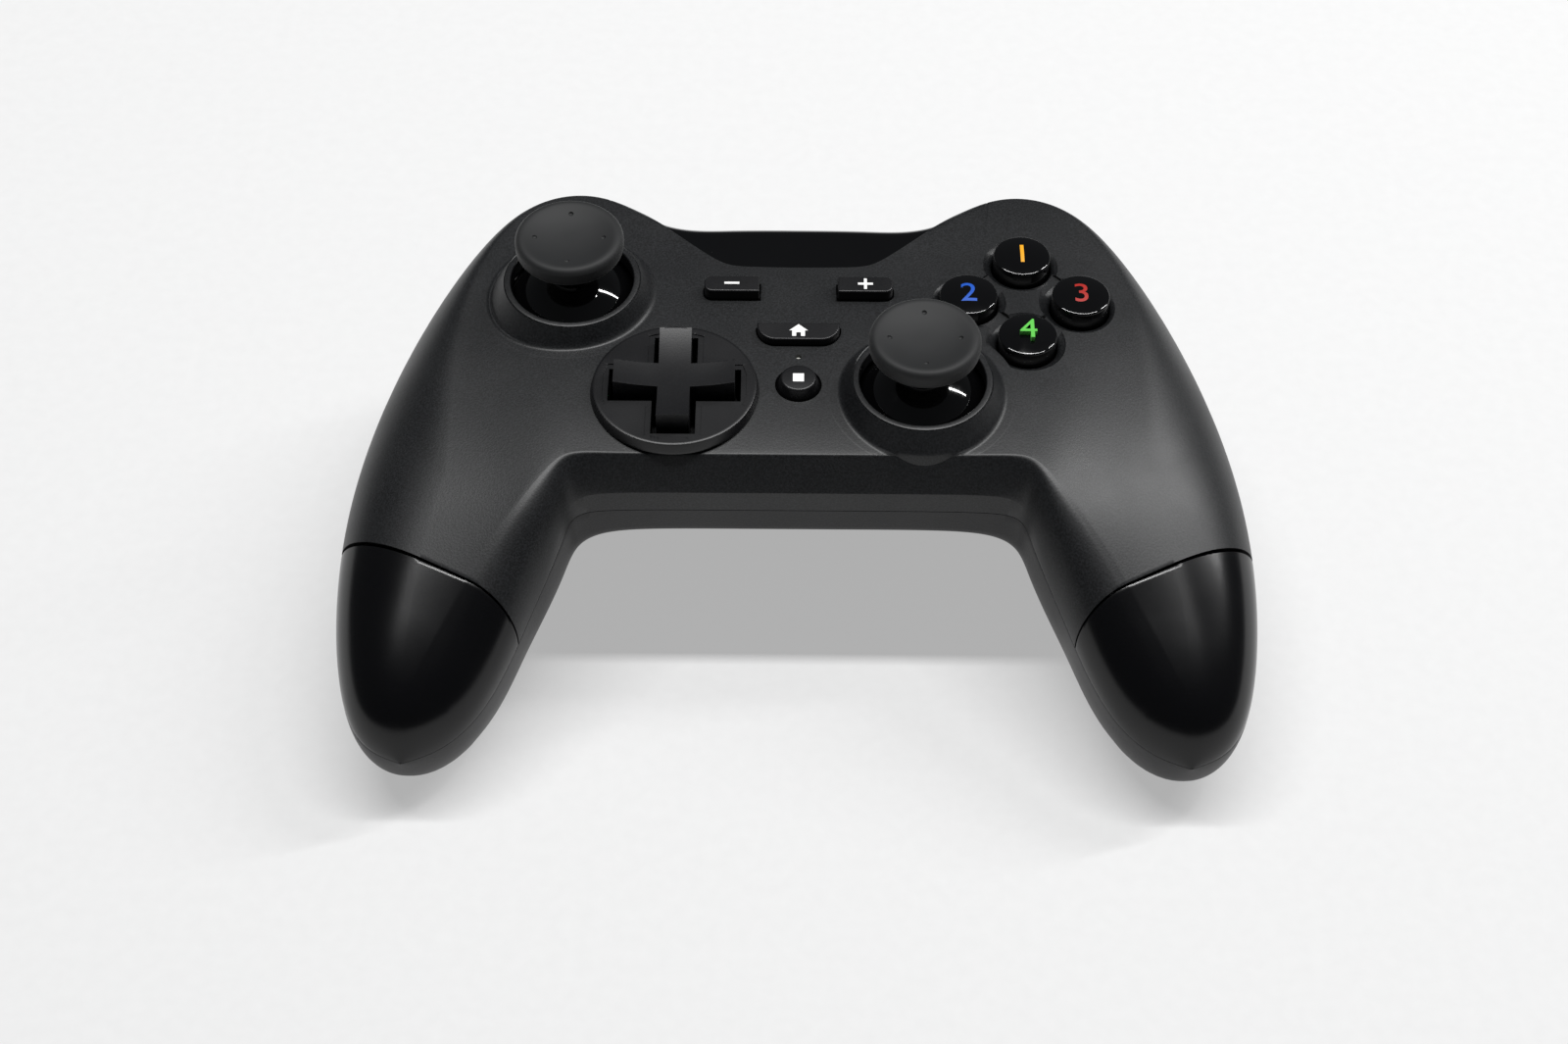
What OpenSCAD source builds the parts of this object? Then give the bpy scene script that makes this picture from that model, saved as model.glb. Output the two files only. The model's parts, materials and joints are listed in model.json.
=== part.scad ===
// Hand held game controller, all sizes in millimetres.
// X runs to the right hand, Y away from the player, Z up from the table.

/* [Body] */
// Width over both handles
body_w = 154; // [153:0.5:156]
// Height of the flat top face above the table
face_z = 42; // [41.5:0.25:43]
// Wall thickness of the shells
wall = 2; // [1.8:0.1:2.1]
// Gap between the shells at the parting line
part_gap = 0.12; // [0.06:0.02:0.2]
// Station along the handle where the grip cap starts
seam_at = 7.5; // [7.45:0.05:7.6]
// Half of the gap at the grip cap seam, as a share of a station
seam_gap = 0.02; // [0.01:0.005:0.03]
// Number of steps from one station to the next
steps = 4; // [3:1:5]

/* [Bridge panel] */
// Width of the panel at its front edge
panel_front_w = 25.8; // [24:0.2:27]
// Depth position of the front edge of the panel
panel_front_y = 30.8; // [30.4:0.1:31.4]
// Width of the panel at the back of the shoulders
panel_back_w = 60.4; // [58:0.2:61]
// Depth position where the back width is measured
panel_back_y = 47.6; // [47:0.1:48.5]
// Gap round the panel
panel_gap = 0.3; // [0.25:0.05:0.4]
// Growth of the gap down the back of the panel
panel_spread = 1; // [0.9:0.05:1.1]
// Thickness of the panel
panel_thick = 1.5; // [1.3:0.1:1.6]
// Depth of the panel face below the shell
panel_sink = 0.45; // [0.3:0.05:0.6]

/* [Thumb sticks] */
// Sideways place of the left stick and of the face buttons
wide_x = 39.2; // [38.8:0.1:39.6]
// Depth place of the left stick
left_stick_y = 23.5; // [23:0.1:24]
// Sideways place of the right stick and of the direction pad
near_x = 20.8; // [20.6:0.1:21]
// Depth place of the right stick and of the direction pad
near_y = 0; // [-0.2:0.1:0.3]
// Height of the tilt centre of a stick below the top face
pivot_drop = 8; // [7.9:0.05:8.1]
// Radius of the gloss dome
dome_r = 13.5; // [13.3:0.05:13.6]
// Thickness of the dome
dome_t = 1.2; // [1:0.1:1.3]
// Radius of the stick opening in the collar
collar_open_r = 10.65; // [10.4:0.05:10.9]
// Outer radius of the collar rim
collar_rim_r = 11.75; // [11.6:0.05:12]
// Outer radius of the collar where it meets the face
collar_base_r = 14.1; // [14:0.05:14.5]
// Height of the collar over the face
collar_h = 3.7; // [3.5:0.05:3.8]
// Radius of the rubber cap
cap_r = 9.3; // [9:0.05:9.45]
// Height of the cap rim over the face
cap_h = 14; // [13.8:0.05:14.2]
// Depth of the dish in the cap
cap_dish = 1.25; // [1:0.05:1.4]
// Radius of the neck under the cap
neck_r = 4.4; // [4.2:0.05:4.6]
// Radius of the stick shaft
shaft_r = 2; // [1.9:0.05:2.05]
// Gap between running shafts and their bores
run_gap = 0.05; // [0.04:0.01:0.08]
// Travel of the stick click
click_travel = 0.5; // [0.4:0.05:0.6]
// Outside width of the stick base
base_w = 15.5; // [15:0.1:15.8]

/* [Direction pad] */
// Radius of the bezel where it sits on the face
bezel_r = 14.25; // [14:0.05:14.4]
// Radius of the bezel at its top
bezel_top_r = 13.7; // [13.5:0.05:13.9]
// Height of the bezel over the face
bezel_h = 2; // [1.9:0.05:2.2]
// Length of the cross over two arms
cross_l = 20.3; // [19.8:0.1:20.6]
// Width of an arm
cross_arm_w = 5.4; // [5.2:0.1:5.6]
// Height of the arm ends over the face
cross_h = 5.3; // [5:0.1:5.5]
// Depth of the dish in the cross
cross_dish = 0.9; // [0.6:0.1:1]
// Gap between the cross and the bezel
cross_gap = 1; // [0.95:0.05:1.1]

/* [Face buttons] */
// Depth place of the middle of the four buttons
face_y = 22.2; // [22:0.1:22.6]
// Distance of each button from the middle
face_ring_r = 9.75; // [9.6:0.05:9.85]
// Radius of a button
face_button_r = 5; // [4.9:0.05:5.1]
// Gap between a button and its hole
button_gap = 0.25; // [0.2:0.05:0.3]
// Height of the button edge over the top face
face_edge_h = 1.3; // [1.2:0.1:1.6]
// Rise of the button dome
face_dome_h = 1.3; // [1.1:0.1:1.5]
// Travel of a face button
face_travel = 1.6; // [1.4:0.1:1.7]

/* [Centre buttons] */
// Sideways place of the minus and plus buttons
sign_x = 11.6; // [11.4:0.1:11.9]
// Depth place of the minus and plus buttons
sign_y = 24.3; // [24:0.1:24.5]
// Length of the minus and plus buttons
sign_l = 9.6; // [9.2:0.1:10]
// Depth of the minus and plus buttons
sign_w = 3.9; // [3.7:0.1:4.1]
// Height of the minus and plus buttons over the face
sign_h = 2.2; // [2:0.1:2.4]
// Depth place of the home button
home_y = 12.9; // [12.7:0.1:13.1]
// Width of the home button at its back edge
home_w = 14.2; // [13.8:0.1:14.6]
// Depth of the home button
home_d = 4.1; // [4:0.1:4.3]
// Height of the home button over the face
home_h = 2; // [1.8:0.1:2.2]
// Depth place of the capture button
capture_y = 1.5; // [1.3:0.1:1.7]
// Radius of the capture button at its base
capture_r = 3.7; // [3.6:0.05:3.8]
// Radius of the capture button at its top
capture_top_r = 2.95; // [2.8:0.05:3.1]
// Height of the capture button over the face
capture_h = 2.3; // [2.1:0.1:2.4]
// Travel of the centre buttons
centre_travel = 0.8; // [0.6:0.1:0.9]
// Depth place of the status light
light_y = 8.1; // [8:0.05:8.3]
// Radius of the status light
light_r = 0.45; // [0.4:0.05:0.5]

/* [Shoulders] */
// Height of the bumper
bumper_h = 7.4; // [7:0.1:7.6]
// Reach of the bumper outside the shell outline
bumper_proud = 0.3; // [0.2:0.1:0.5]
// Tuck of the bumper ends inside the shell outline
bumper_tuck = 1.8; // [1.6:0.1:2]
// Depth of the bumper inside the shell outline
bumper_deep = 4.6; // [4.3:0.1:4.7]
// Depth place of the trigger hinge
trigger_y = 45.5; // [45.3:0.1:45.7]
// Height of the trigger hinge below the top face
trigger_drop = 18; // [17.9:0.1:18.2]
// Thickness of the trigger wall
trigger_t = 2.2; // [2:0.1:2.4]
// Radius of the trigger hinge pin
pin_r = 1; // [0.9:0.05:1.05]

/* [Inside] */
// Height of the stick tilt centre over the board
pivot_over_board = 6.4; // [6.3:0.05:6.5]
// Thickness of the board
board_t = 1.6; // [1.4:0.1:1.6]
// Width of the battery
battery_w = 44; // [40:0.5:46]
// Depth of the battery
battery_d = 28; // [26:0.5:28.5]
// Thickness of the battery
battery_t = 7; // [6:0.25:8]
// Radius of a rumble motor
motor_r = 5.5; // [5.2:0.1:5.8]
// Length of a rumble motor
motor_l = 12; // [11:0.5:12]
// Radius of an off centre weight
weight_r = 7; // [6.5:0.1:7.2]
// Radius of the case screw shank
screw_r = 1; // [0.9:0.05:1.1]
// Radius of the case screw head
screw_head_r = 2.3; // [2.1:0.1:2.4]

/* [Hidden] */

$fn = 48;
wx = body_w / 154;
pivot_z = face_z - pivot_drop;
board_z = pivot_z - pivot_over_board;
board_under = board_z - board_t;
cavity_r = dome_r + 0.5;
left_stick = [-wide_x * wx, left_stick_y];
right_stick = [near_x * wx, near_y];
dpad_at = [-near_x * wx, near_y];
face_mid = [wide_x * wx, face_y];
sign_at = sign_x * wx;
battery_len = battery_w * wx;
motor_len = motor_l * wx;
spider_z = face_z - 7.5;
trigger_z = face_z - trigger_drop;
shell_under = face_z - wall;
last = 11;
tip = last - 0.06;

// Stations from the middle of the body (0) to the handle tip (11).
// Front edge of the plan outline
in_pts = [[0, -17], [12 * wx, -17], [23 * wx, -17], [30.5 * wx, -17.2], [36.2 * wx, -17.5],
    [39 * wx, -21.2], [41.3 * wx, -27], [44.3 * wx, -33.5], [47.6 * wx, -41], [52.1 * wx, -49],
    [58.3 * wx, -54], [64.5 * wx, -55.9]];
// Back and side edge of the plan outline
out_pts = [[0, 46.5], [12 * wx, 46.5], [24 * wx, 45.6], [35 * wx, 54], [51.5 * wx, 51],
    [64.3 * wx, 32], [72.7 * wx, 9], [76.8 * wx, -11], [77.5 * wx, -30], [75.1 * wx, -47],
    [71 * wx, -53.8], [64.5 * wx, -55.9]];
// Drop of the crown below the top face
crown_drop = [0, 0, 0, 0, 0.2, 1, 3.5, 7.5, 12.5, 17, 21.5, 29.5];
// Drop of the parting line below the top face, front side
part_in = [10.6, 10.6, 10.6, 10.8, 11.6, 13.2, 15.8, 19.4, 23.4, 26.8, 29, 29.5];
// Drop of the parting line below the top face, outer side
part_out = [15, 15, 14.5, 13, 12.5, 13.5, 15.6, 18.8, 22.4, 26, 28.6, 29.5];
// Plan run of the front slope and of the outer round
run_in = [3.9, 3.9, 3.9, 4.2, 5, 7, 10, 12, 12.5, 12, 9, 5];
run_out = [6.5, 6.5, 6.5, 6.5, 8, 15, 22, 21, 17, 13, 9, 5];
// Upright share of the front wall, and how sharp its top edge is
band = [0.445, 0.445, 0.445, 0.44, 0.38, 0.24, 0.1, 0.05, 0.05, 0.05, 0.05, 0.05];
edge_pow = [1.02, 1.02, 1.02, 1.04, 1.2, 1.6, 1.9, 2, 2, 2, 2, 2];
// Underside heights over the table, front side and outer side
floor_in = [25, 25, 25, 24, 19, 12, 6, 2.2, -1.4, 0.6, 5, 12.5];
floor_out = [-0.6, -0.6, -0.6, -0.6, 0.2, 2.5, 3.5, 2.2, -1.4, 0.6, 5, 12.5];
// Plan run of the underside rounds
under_in = [3, 3, 3, 4, 6, 9, 12, 13, 13, 12, 9, 5];
under_out = [5, 5, 5, 6, 9, 13, 16, 16, 15, 13, 9, 5];
// Upright share of the lower front wall
under_band = [0.62, 0.62, 0.62, 0.6, 0.45, 0.25, 0.1, 0.05, 0.05, 0.05, 0.05, 0.05];
// Rows across the upper and lower halves
rows_up = [0, 1, 1.25, 1.5, 1.75, 2, 2.33, 2.67, 3, 3.2, 3.4, 3.6, 3.8, 4];
rows_low = [0, 0.2, 0.4, 0.6, 0.8, 1, 1.17, 1.33, 1.5, 1.67, 1.83, 2, 2.33, 2.67, 3, 4];

// Smooth curve through a list of guide values
function guide(c, i) = i < 0 ? 2 * c[0] - c[1]
    : i > len(c) - 1 ? 2 * c[len(c) - 1] - c[len(c) - 2] : c[i];
function curve(c, t) = let (k = min(floor(t), len(c) - 2), u = t - k)
    pow(1 - u, 3) / 6 * guide(c, k - 1)
    + (3 * u * u * u - 6 * u * u + 4) / 6 * guide(c, k)
    + (-3 * u * u * u + 3 * u * u + 3 * u + 1) / 6 * guide(c, k + 1)
    + u * u * u / 6 * guide(c, k + 2);
function unit(v) = norm(v) < 1e-9 ? v * 0 : v / norm(v);

// Point on the upper half; t is the station, q the row from front to outside
function upper(t, q) =
    let (s = t < 0 ? -1 : 1, k = abs(t), a0 = curve(in_pts, k), d = curve(out_pts, k) - a0,
        l = norm(d), zt = face_z - curve(crown_drop, k),
        zi = face_z - curve(part_in, k) + part_gap / 2,
        zo = face_z - curve(part_out, k) + part_gap / 2,
        ri = min(curve(run_in, k), 0.48 * l) / l, ro = min(curve(run_out, k), 0.48 * l) / l,
        hb = curve(band, k), n = curve(edge_pow, k),
        a = q <= 1 ? 0 : q <= 2 ? ri * (1 - pow(cos(90 * (q - 1)), 2 / n))
            : q <= 3 ? ri + (1 - ri - ro) * (q - 2) : 1 - ro + ro * sin(90 * (q - 3)),
        z = q <= 1 ? zi + (zt - zi) * hb * q
            : q <= 2 ? zi + (zt - zi) * (hb + (1 - hb) * pow(sin(90 * (q - 1)), 2 / n))
            : q <= 3 ? zt : zo + (zt - zo) * cos(90 * (q - 3)))
    [s * (a0[0] + d[0] * a), a0[1] + d[1] * a, z];

// Point on the lower half; rows run from the outside under to the front
function lower(t, q) =
    let (s = t < 0 ? -1 : 1, k = abs(t), a0 = curve(in_pts, k), d = curve(out_pts, k) - a0,
        l = norm(d), zi = face_z - curve(part_in, k) - part_gap / 2,
        zo = face_z - curve(part_out, k) - part_gap / 2,
        fi = curve(floor_in, k), fo = curve(floor_out, k),
        ri = min(curve(under_in, k), 0.48 * l) / l, ro = min(curve(under_out, k), 0.48 * l) / l,
        zw = zi - curve(under_band, k) * (zi - fi),
        a = q <= 1 ? 1 - ro * (1 - cos(90 * q)) : q <= 2 ? 1 - ro - (1 - ro - ri) * (q - 1)
            : q <= 3 ? ri * (1 - sin(90 * (q - 2))) : 0,
        z = q <= 1 ? zo - (zo - fo) * sin(90 * q) : q <= 2 ? fo + (fi - fo) * pow(q - 1, 2)
            : q <= 3 ? zw - (zw - fi) * cos(90 * (q - 2)) : zw + (zi - zw) * (q - 3))
    [s * (a0[0] + d[0] * a), a0[1] + d[1] * a, z];

function skin(up, t, q) = up ? upper(t, q) : lower(t, q);
function outward(up, t, q) =
    let (p = skin(up, t, q), before = unit(p - skin(up, t, max(q - 0.02, 0))),
        after = unit(skin(up, t, min(q + 0.02, 4)) - p),
        along = skin(up, t + 0.04, q) - skin(up, t - 0.04, q))
    unit(cross(along, before + after));
function stations(t0, t1) = let (n = ceil((t1 - t0) * steps))
    [for (i = [0 : n]) t0 + (t1 - t0) * i / n];

// Outline point in plan, moved outward by d
function rim_at(t, d) =
    let (p = curve(out_pts, t), v = unit(curve(out_pts, t + 0.02) - curve(out_pts, t - 0.02)))
    p + d * [-v[1], v[0]];

// Underside height near the middle of the body, at depth y
function floor_at(y) = lower(0, 1 + (curve(out_pts, 0)[1] - under_out[0] - y)
    / (curve(out_pts, 0)[1] - under_out[0] - curve(in_pts, 0)[1] - under_in[0]))[2];

// Sheet with thickness over a grid of [station, row] pairs, closed at all four edges
module sheet(grid, sink, thick) {
    n = len(grid);
    m = len(grid[0]);
    outside = [for (r = grid) for (g = r) upper(g[0], g[1]) - sink * outward(true, g[0], g[1])];
    inside = [for (r = grid) for (g = r)
        upper(g[0], g[1]) - (sink + thick) * outward(true, g[0], g[1])];
    solid_sheet(outside, inside, n, m);
}
// The diagonals are mirrored about the middle, so both hands are alike
module solid_sheet(outside, inside, n, m) {
    k = n * m;
    skins = [for (i = [0 : n - 2]) for (j = [0 : m - 2])
        let (a = i * m + j, b = a + m, c = a + 1, d = b + 1)
        each i < (n - 1) / 2 ? [[a, d, b], [a, c, d], [a + k, b + k, d + k], [a + k, d + k, c + k]]
            : [[a, c, b], [c, d, b], [a + k, b + k, c + k], [c + k, b + k, d + k]]];
    sides = [for (i = [0 : n - 2]) let (a = i * m, b = a + m, c = a + m - 1, d = c + m)
        each [[a, b, b + k], [a, b + k, a + k], [d, c, c + k], [d, c + k, d + k]]];
    ends = [for (j = [0 : m - 2]) let (a = j, c = j + 1, b = (n - 1) * m + j, d = b + 1)
        each [[c, a, a + k], [c, a + k, c + k], [b, d, d + k], [b, d + k, b + k]]];
    polyhedron(points = concat(outside, inside), faces = concat(skins, sides, ends), convexity = 8);
}
module strip(up, t0, t1) {
    ts = stations(t0, t1);
    qs = up ? rows_up : rows_low;
    outside = [for (t = ts) for (q = qs) skin(up, t, q)];
    inside = [for (t = ts) for (q = qs) skin(up, t, q) - wall * outward(up, t, q)];
    solid_sheet(outside, inside, len(ts), len(qs));
}

// Panel outline on the body: half width at depth y, and where it meets rows and stations
panel_slope = (panel_back_w - panel_front_w) * wx / 2 / (panel_back_y - panel_front_y);
function past_panel(t, q) = let (p = upper(t, q))
    p[0] - panel_front_w * wx / 2 - panel_slope * (p[1] - panel_front_y);
function panel_t(q, lo, hi, n) = n == 0 ? (lo + hi) / 2 : let (mid = (lo + hi) / 2)
    past_panel(mid, q) > 0 ? panel_t(q, lo, mid, n - 1) : panel_t(q, mid, hi, n - 1);
function panel_q(t, lo, hi, n) = n == 0 ? (lo + hi) / 2 : let (mid = (lo + hi) / 2)
    past_panel(t, mid) > 0 ? panel_q(t, mid, hi, n - 1) : panel_q(t, lo, mid, n - 1);
q_front = let (y0 = upper(0, 2)[1], y1 = upper(0, 3)[1]) 2 + (panel_front_y - y0) / (y1 - y0);
t_front = panel_t(q_front, 0.2, 3.5, 24);
t_back = panel_t(4, 0.2, 3.5, 24);
function last_row(t) = abs(t) >= t_back ? 4
    : abs(t) <= t_front ? q_front : panel_q(abs(t), q_front, 4, 24);
function fit_row(q, top) = q <= 2 ? q : 2 + (q - 2) * (top - 2) / 2;
edge_rows = concat([for (i = [1 : 4]) q_front + (3 - q_front) * i / 4], [for (i = [1 : 10]) 3 + i / 10]);
top_half = concat(stations(0, t_front), [for (q = edge_rows) panel_t(q, 0.2, 3.5, 24)],
    [for (t = stations(t_back, seam_at - seam_gap)) if (t > t_back + 0.01) t]);
function top_grid() = [for (i = [1 - len(top_half) : len(top_half) - 1])
    let (t = (i < 0 ? -1 : 1) * top_half[abs(i)], top = last_row(t))
        [for (q = rows_up) [t, fit_row(q, top)]]];
panel_rows = concat([q_front + panel_gap / 54, 2.92], [for (i = [0 : 10]) 3 + i / 10]);
function panel_grid() = [for (i = [-8 : 8]) [for (q = panel_rows)
    let (t = panel_t(q, 0.2, 3.5, 24), w = upper(t, q)[0], g = panel_gap + panel_spread * max(q - 2.75, 0))
        [i / 8 * t * (1 - g / w), q]]];

// Plan of both shoulder bays, joined behind the body
bay_line = [for (p = [[26.03, 42.02], [40.01, 42.51], [45.95, 38.27], [59.3, 48.82], [60, 64]])
    [p[0] * wx, p[1]]];
bay_turn = atan2(bay_line[1][1] - bay_line[2][1], bay_line[2][0] - bay_line[1][0]);
module bays(z0, z1) {
    translate([0, 0, z0]) linear_extrude(z1 - z0) polygon(concat(bay_line,
        [for (i = [4 : -1 : 0]) [-bay_line[i][0], bay_line[i][1]]],
        [[-bay_line[0][0], 60], [bay_line[0][0], 60]]));
}
bay_top = face_z - 3.3;

// Case screw places: front, side and handle
front_boss = [36 * wx, -10.5];
side_boss = [60 * wx, 12];
grip_boss = [60.5 * wx, -38.5];
boss_r = 3;
post_r = 3.4;
screw_top = face_z - 16.5;
grip_screw_top = face_z - 27;
// Places where the board is screwed down
board_posts = [[8 * wx, -8.8], [max(26 * wx, battery_len / 2 + 4), 29]];
module both() {
    children();
    mirror([1, 0, 0]) children();
}
module boss(at, z0, z1) {
    translate([at[0], at[1], z0]) difference() {
        cylinder(r = boss_r, h = z1 - z0);
        translate([0, 0, -1]) cylinder(r = screw_r + 0.02, h = 7.5);
    }
}

// Raised collar round a stick, its inside follows the dome
module collar() {
    low = -2.8;
    slope = (collar_base_r - collar_rim_r) / collar_h;
    inside = [for (z = [low : (pivot_drop + low) / 8 : 1.01])
        [sqrt(pow(cavity_r, 2) - pow(pivot_drop + z, 2)), z]];
    meet = sqrt(pow(cavity_r, 2) - pow(collar_open_r, 2)) - pivot_drop;
    rotate_extrude($fn = 72) polygon(concat(
        [[collar_base_r - low * slope, low], [collar_rim_r, collar_h - 0.35],
            [collar_rim_r - 0.35, collar_h], [collar_open_r, collar_h], [collar_open_r, meet]],
        [for (i = [len(inside) - 1 : -1 : 0]) if (inside[i][0] > collar_open_r + 0.05) inside[i]]));
}

module sign_plan(g) {
    r = 1.5 + g;
    l = sign_l / 2 + g;
    w = sign_w / 2 + g;
    polygon(concat([[-l, -w], [l - r, -w]],
        [for (a = [-75 : 15 : 75]) [l - r + r * cos(a), (a < 0 ? -1 : 1) * (w - r) + r * sin(a)]],
        [[l - r, w], [-l, w]]));
}
module home_plan(g) {
    l = home_w / 2 + g;
    w = home_d / 2 + g;
    r = home_d * 0.8 + g;
    polygon(concat([[l, w]],
        [for (a = [0 : 15 : 90]) [l - r + r * cos(a), w - 0.6 - (2 * w - 0.6) * sin(a)]],
        [for (a = [90 : 15 : 180]) [-l + r + r * cos(a), w - 0.6 - (2 * w - 0.6) * sin(a)]],
        [[-l, w]]));
}

face_places = [[0, face_ring_r], [-face_ring_r, 0], [face_ring_r, 0], [0, -face_ring_r]];
face_surface = [0.7, 0.2, 1.2, 0.6];
module at_face(i) {
    translate([face_mid[0] + face_places[i][0], face_mid[1] + face_places[i][1], 0]) children();
}

module top_shell() color("#2b2c2f") {
    difference() {
        sheet(top_grid(), 0, wall);
        bays(10, bay_top);
        for (p = [left_stick, right_stick])
            translate([p[0], p[1], face_z - 8]) cylinder(r = collar_open_r + 2.5, h = 16);
        translate([dpad_at[0], dpad_at[1], face_z - 8]) cylinder(r = bezel_r - 1.5, h = 16);
        for (i = [0 : 3]) at_face(i) {
            translate([0, 0, face_z - 8]) cylinder(r = face_button_r + button_gap, h = 16);
            translate([0, 0, face_z - face_surface[i] - 0.7])
                cylinder(r1 = face_button_r + button_gap, r2 = face_button_r + 2.25, h = 2);
        }
        for (s = [-1, 1]) translate([s * sign_at, sign_y, face_z - 8]) scale([s, 1, 1])
            linear_extrude(16) sign_plan(button_gap);
        translate([0, home_y, face_z - 8]) linear_extrude(16) home_plan(button_gap);
        translate([0, capture_y, face_z - 8]) cylinder(r = capture_r + button_gap, h = 16);
        translate([0, light_y, face_z - 8]) cylinder(r = light_r + 0.05, h = 16, $fn = 24);
    }
    for (p = [left_stick, right_stick]) translate([p[0], p[1], face_z]) collar();
    both() boss(front_boss, screw_top + 0.1, face_z - 1.2);
    both() boss(side_boss, screw_top + 0.1, face_z - 5);
}

module post(at, z0, z1) {
    translate([at[0], at[1], z0]) cylinder(r = post_r, h = z1 - z0);
}
module well(at, z_seat, z1) {
    translate([at[0], at[1], -1]) cylinder(r = screw_head_r + 0.3, h = z_seat + 1);
    translate([at[0], at[1], 0]) cylinder(r = screw_r + 0.15, h = z1 + 1);
}
front_seat = face_z - 19;
side_seat = 10;
grip_seat = 8;

module bottom_shell() color("#1d1d1f") {
    difference() {
        union() {
            strip(false, -tip, tip);
            both() post(front_boss, 21.6, screw_top);
            both() post(side_boss, 5.4, screw_top);
            both() post(grip_boss, 1.3, grip_screw_top);
            both() for (p = board_posts) let (z = floor_at(p[1] - 2.2) + 0.5)
                translate([p[0], p[1], z]) cylinder(r = 2.2, h = board_under - z);
            both() for (y = [battery_y - 10, battery_y + 10]) let (z = floor_at(y - 2) + 0.6)
                translate([13, y - 2, z]) cube([4, 4, battery_z - z]);
            both() for (p = [[motor_x + 2, 4.2], [motor_x + motor_len - 4, 2.6]]) difference() {
                translate([p[0], motor_y - 5, p[1]]) cube([2, 10, motor_z - 1 - p[1]]);
                translate([p[0] - 1, motor_y, motor_z]) rotate([0, 90, 0])
                    cylinder(r = motor_r + 0.03, h = 4);
            }
        }
        translate([-90, -70, -10]) cube([180, 140, 10]);
        bays(5, face_z + 10);
        both() well(front_boss, front_seat, screw_top);
        both() well(side_boss, side_seat, screw_top);
        both() well(grip_boss, grip_seat, grip_screw_top);
        both() for (p = board_posts) translate([p[0], p[1], board_under - 3]) cylinder(r = 0.82, h = 4);
        translate([-socket_w / 2 - 0.4, 40, board_under + 0.4]) cube([socket_w + 0.8, 10, 10]);
    }
}

module grip_cap() {
    strip(true, seam_at + seam_gap, tip);
    boss(grip_boss, grip_screw_top + 0.1, face_z - 15.1);
}
module right_grip_cap() color("#141415") grip_cap();
module left_grip_cap() color("#141415") mirror([1, 0, 0]) grip_cap();

module bridge_panel() color("#0c0c0d") difference() {
    sheet(panel_grid(), panel_sink, panel_thick);
    bays(10, bay_top);
    translate([-socket_w / 2 - 0.4, 38, board_under]) cube([socket_w + 0.8, 12, board_t + socket_h + 0.4]);
}

module status_light_pipe() color("#e8e8e4") translate([0, light_y, 0]) {
    translate([0, 0, shell_under - 1]) cylinder(r = light_r, h = wall + 0.9, $fn = 24);
    translate([0, 0, board_z + 1.2]) cylinder(r = 1.2, h = shell_under - board_z - 1.5);
}

// Thumb stick pieces, drawn round the tilt axis
module stick_cap() {
    top = cap_h;
    difference() {
        rotate_extrude($fn = 72) polygon([[0, top - cap_dish], [3, top - cap_dish + 0.1],
            [cap_r * 0.6, top - cap_dish * 0.62], [cap_r * 0.79, top - 0.15], [cap_r * 0.88, top],
            [cap_r * 0.96, top - 0.35], [cap_r, top - 1.2], [cap_r, top - 2.4], [cap_r - 0.3, top - 3.3],
            [cap_r - 1.1, top - 3.8], [neck_r + 1.2, top - 4.3], [neck_r + 0.2, top - 5.1],
            [neck_r, top - 6.1], [0, top - 6.1]]);
        translate([0, 0, top - 7]) cylinder(r = shaft_r + run_gap, h = 4.2);
    }
}
module stick_dome() {
    low = 3 - pivot_drop;
    in_r = dome_r - dome_t;
    a1 = acos((pivot_drop + low) / dome_r);
    a2 = acos((pivot_drop + low) / in_r);
    a0 = asin(neck_r / dome_r);
    difference() {
        rotate_extrude($fn = 72) polygon(concat([[0, cap_h - 6.1], [neck_r, cap_h - 6.1]],
            [for (i = [0 : 10]) let (a = a0 + (a1 - a0) * i / 10)
                [dome_r * sin(a), dome_r * cos(a) - pivot_drop]],
            [for (i = [10 : -1 : 0]) let (a = a2 * i / 10)
                [in_r * sin(a), in_r * cos(a) - pivot_drop]]));
        translate([0, 0, -pivot_drop]) cylinder(r = shaft_r + run_gap, h = 20);
    }
}
ring_r = base_w * 0.4;
ring_in_r = ring_r - 1.9;
stick_pin_r = 1;
module stick_yoke() {
    difference() {
        union() {
            translate([0, 0, -1.5]) cylinder(r = ring_r, h = 3);
            rotate([0, 90, 0]) cylinder(r = stick_pin_r, h = base_w - 0.2, center = true);
        }
        translate([0, 0, -3]) cylinder(r = ring_in_r, h = 6);
        rotate([90, 0, 0]) cylinder(r = stick_pin_r + run_gap, h = 30, center = true);
    }
}
module stick_rocker() {
    translate([0, 0, -1.5]) cylinder(r = ring_in_r - 0.8, h = 3);
    rotate([90, 0, 0]) cylinder(r = stick_pin_r, h = 2 * ring_r - 0.4, center = true);
    cylinder(r = shaft_r, h = pivot_drop + cap_h - 2.8 - click_travel - 0.1);
}
module stick_base() {
    difference() {
        translate([-base_w / 2, -base_w / 2, -pivot_over_board])
            cube([base_w, base_w, pivot_over_board + 2]);
        translate([-base_w / 2 + 1.1, -base_w / 2 + 1.1, -pivot_over_board + 1.2])
            cube([base_w - 2.2, base_w - 2.2, 20]);
        rotate([0, 90, 0]) cylinder(r = stick_pin_r + run_gap, h = 30, center = true);
    }
}
module at_left() { translate([left_stick[0], left_stick[1], pivot_z]) children(); }
module at_right() { translate([right_stick[0], right_stick[1], pivot_z]) children(); }
module on_face() { translate([0, 0, pivot_drop]) children(); }
module left_stick_cap() color("#303133") at_left() on_face() stick_cap();
module right_stick_cap() color("#303133") at_right() on_face() stick_cap();
module left_stick_dome() color("#0b0b0c") at_left() on_face() stick_dome();
module right_stick_dome() color("#0b0b0c") at_right() on_face() stick_dome();
module left_stick_rocker() color("#d8d8d2") at_left() stick_rocker();
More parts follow.
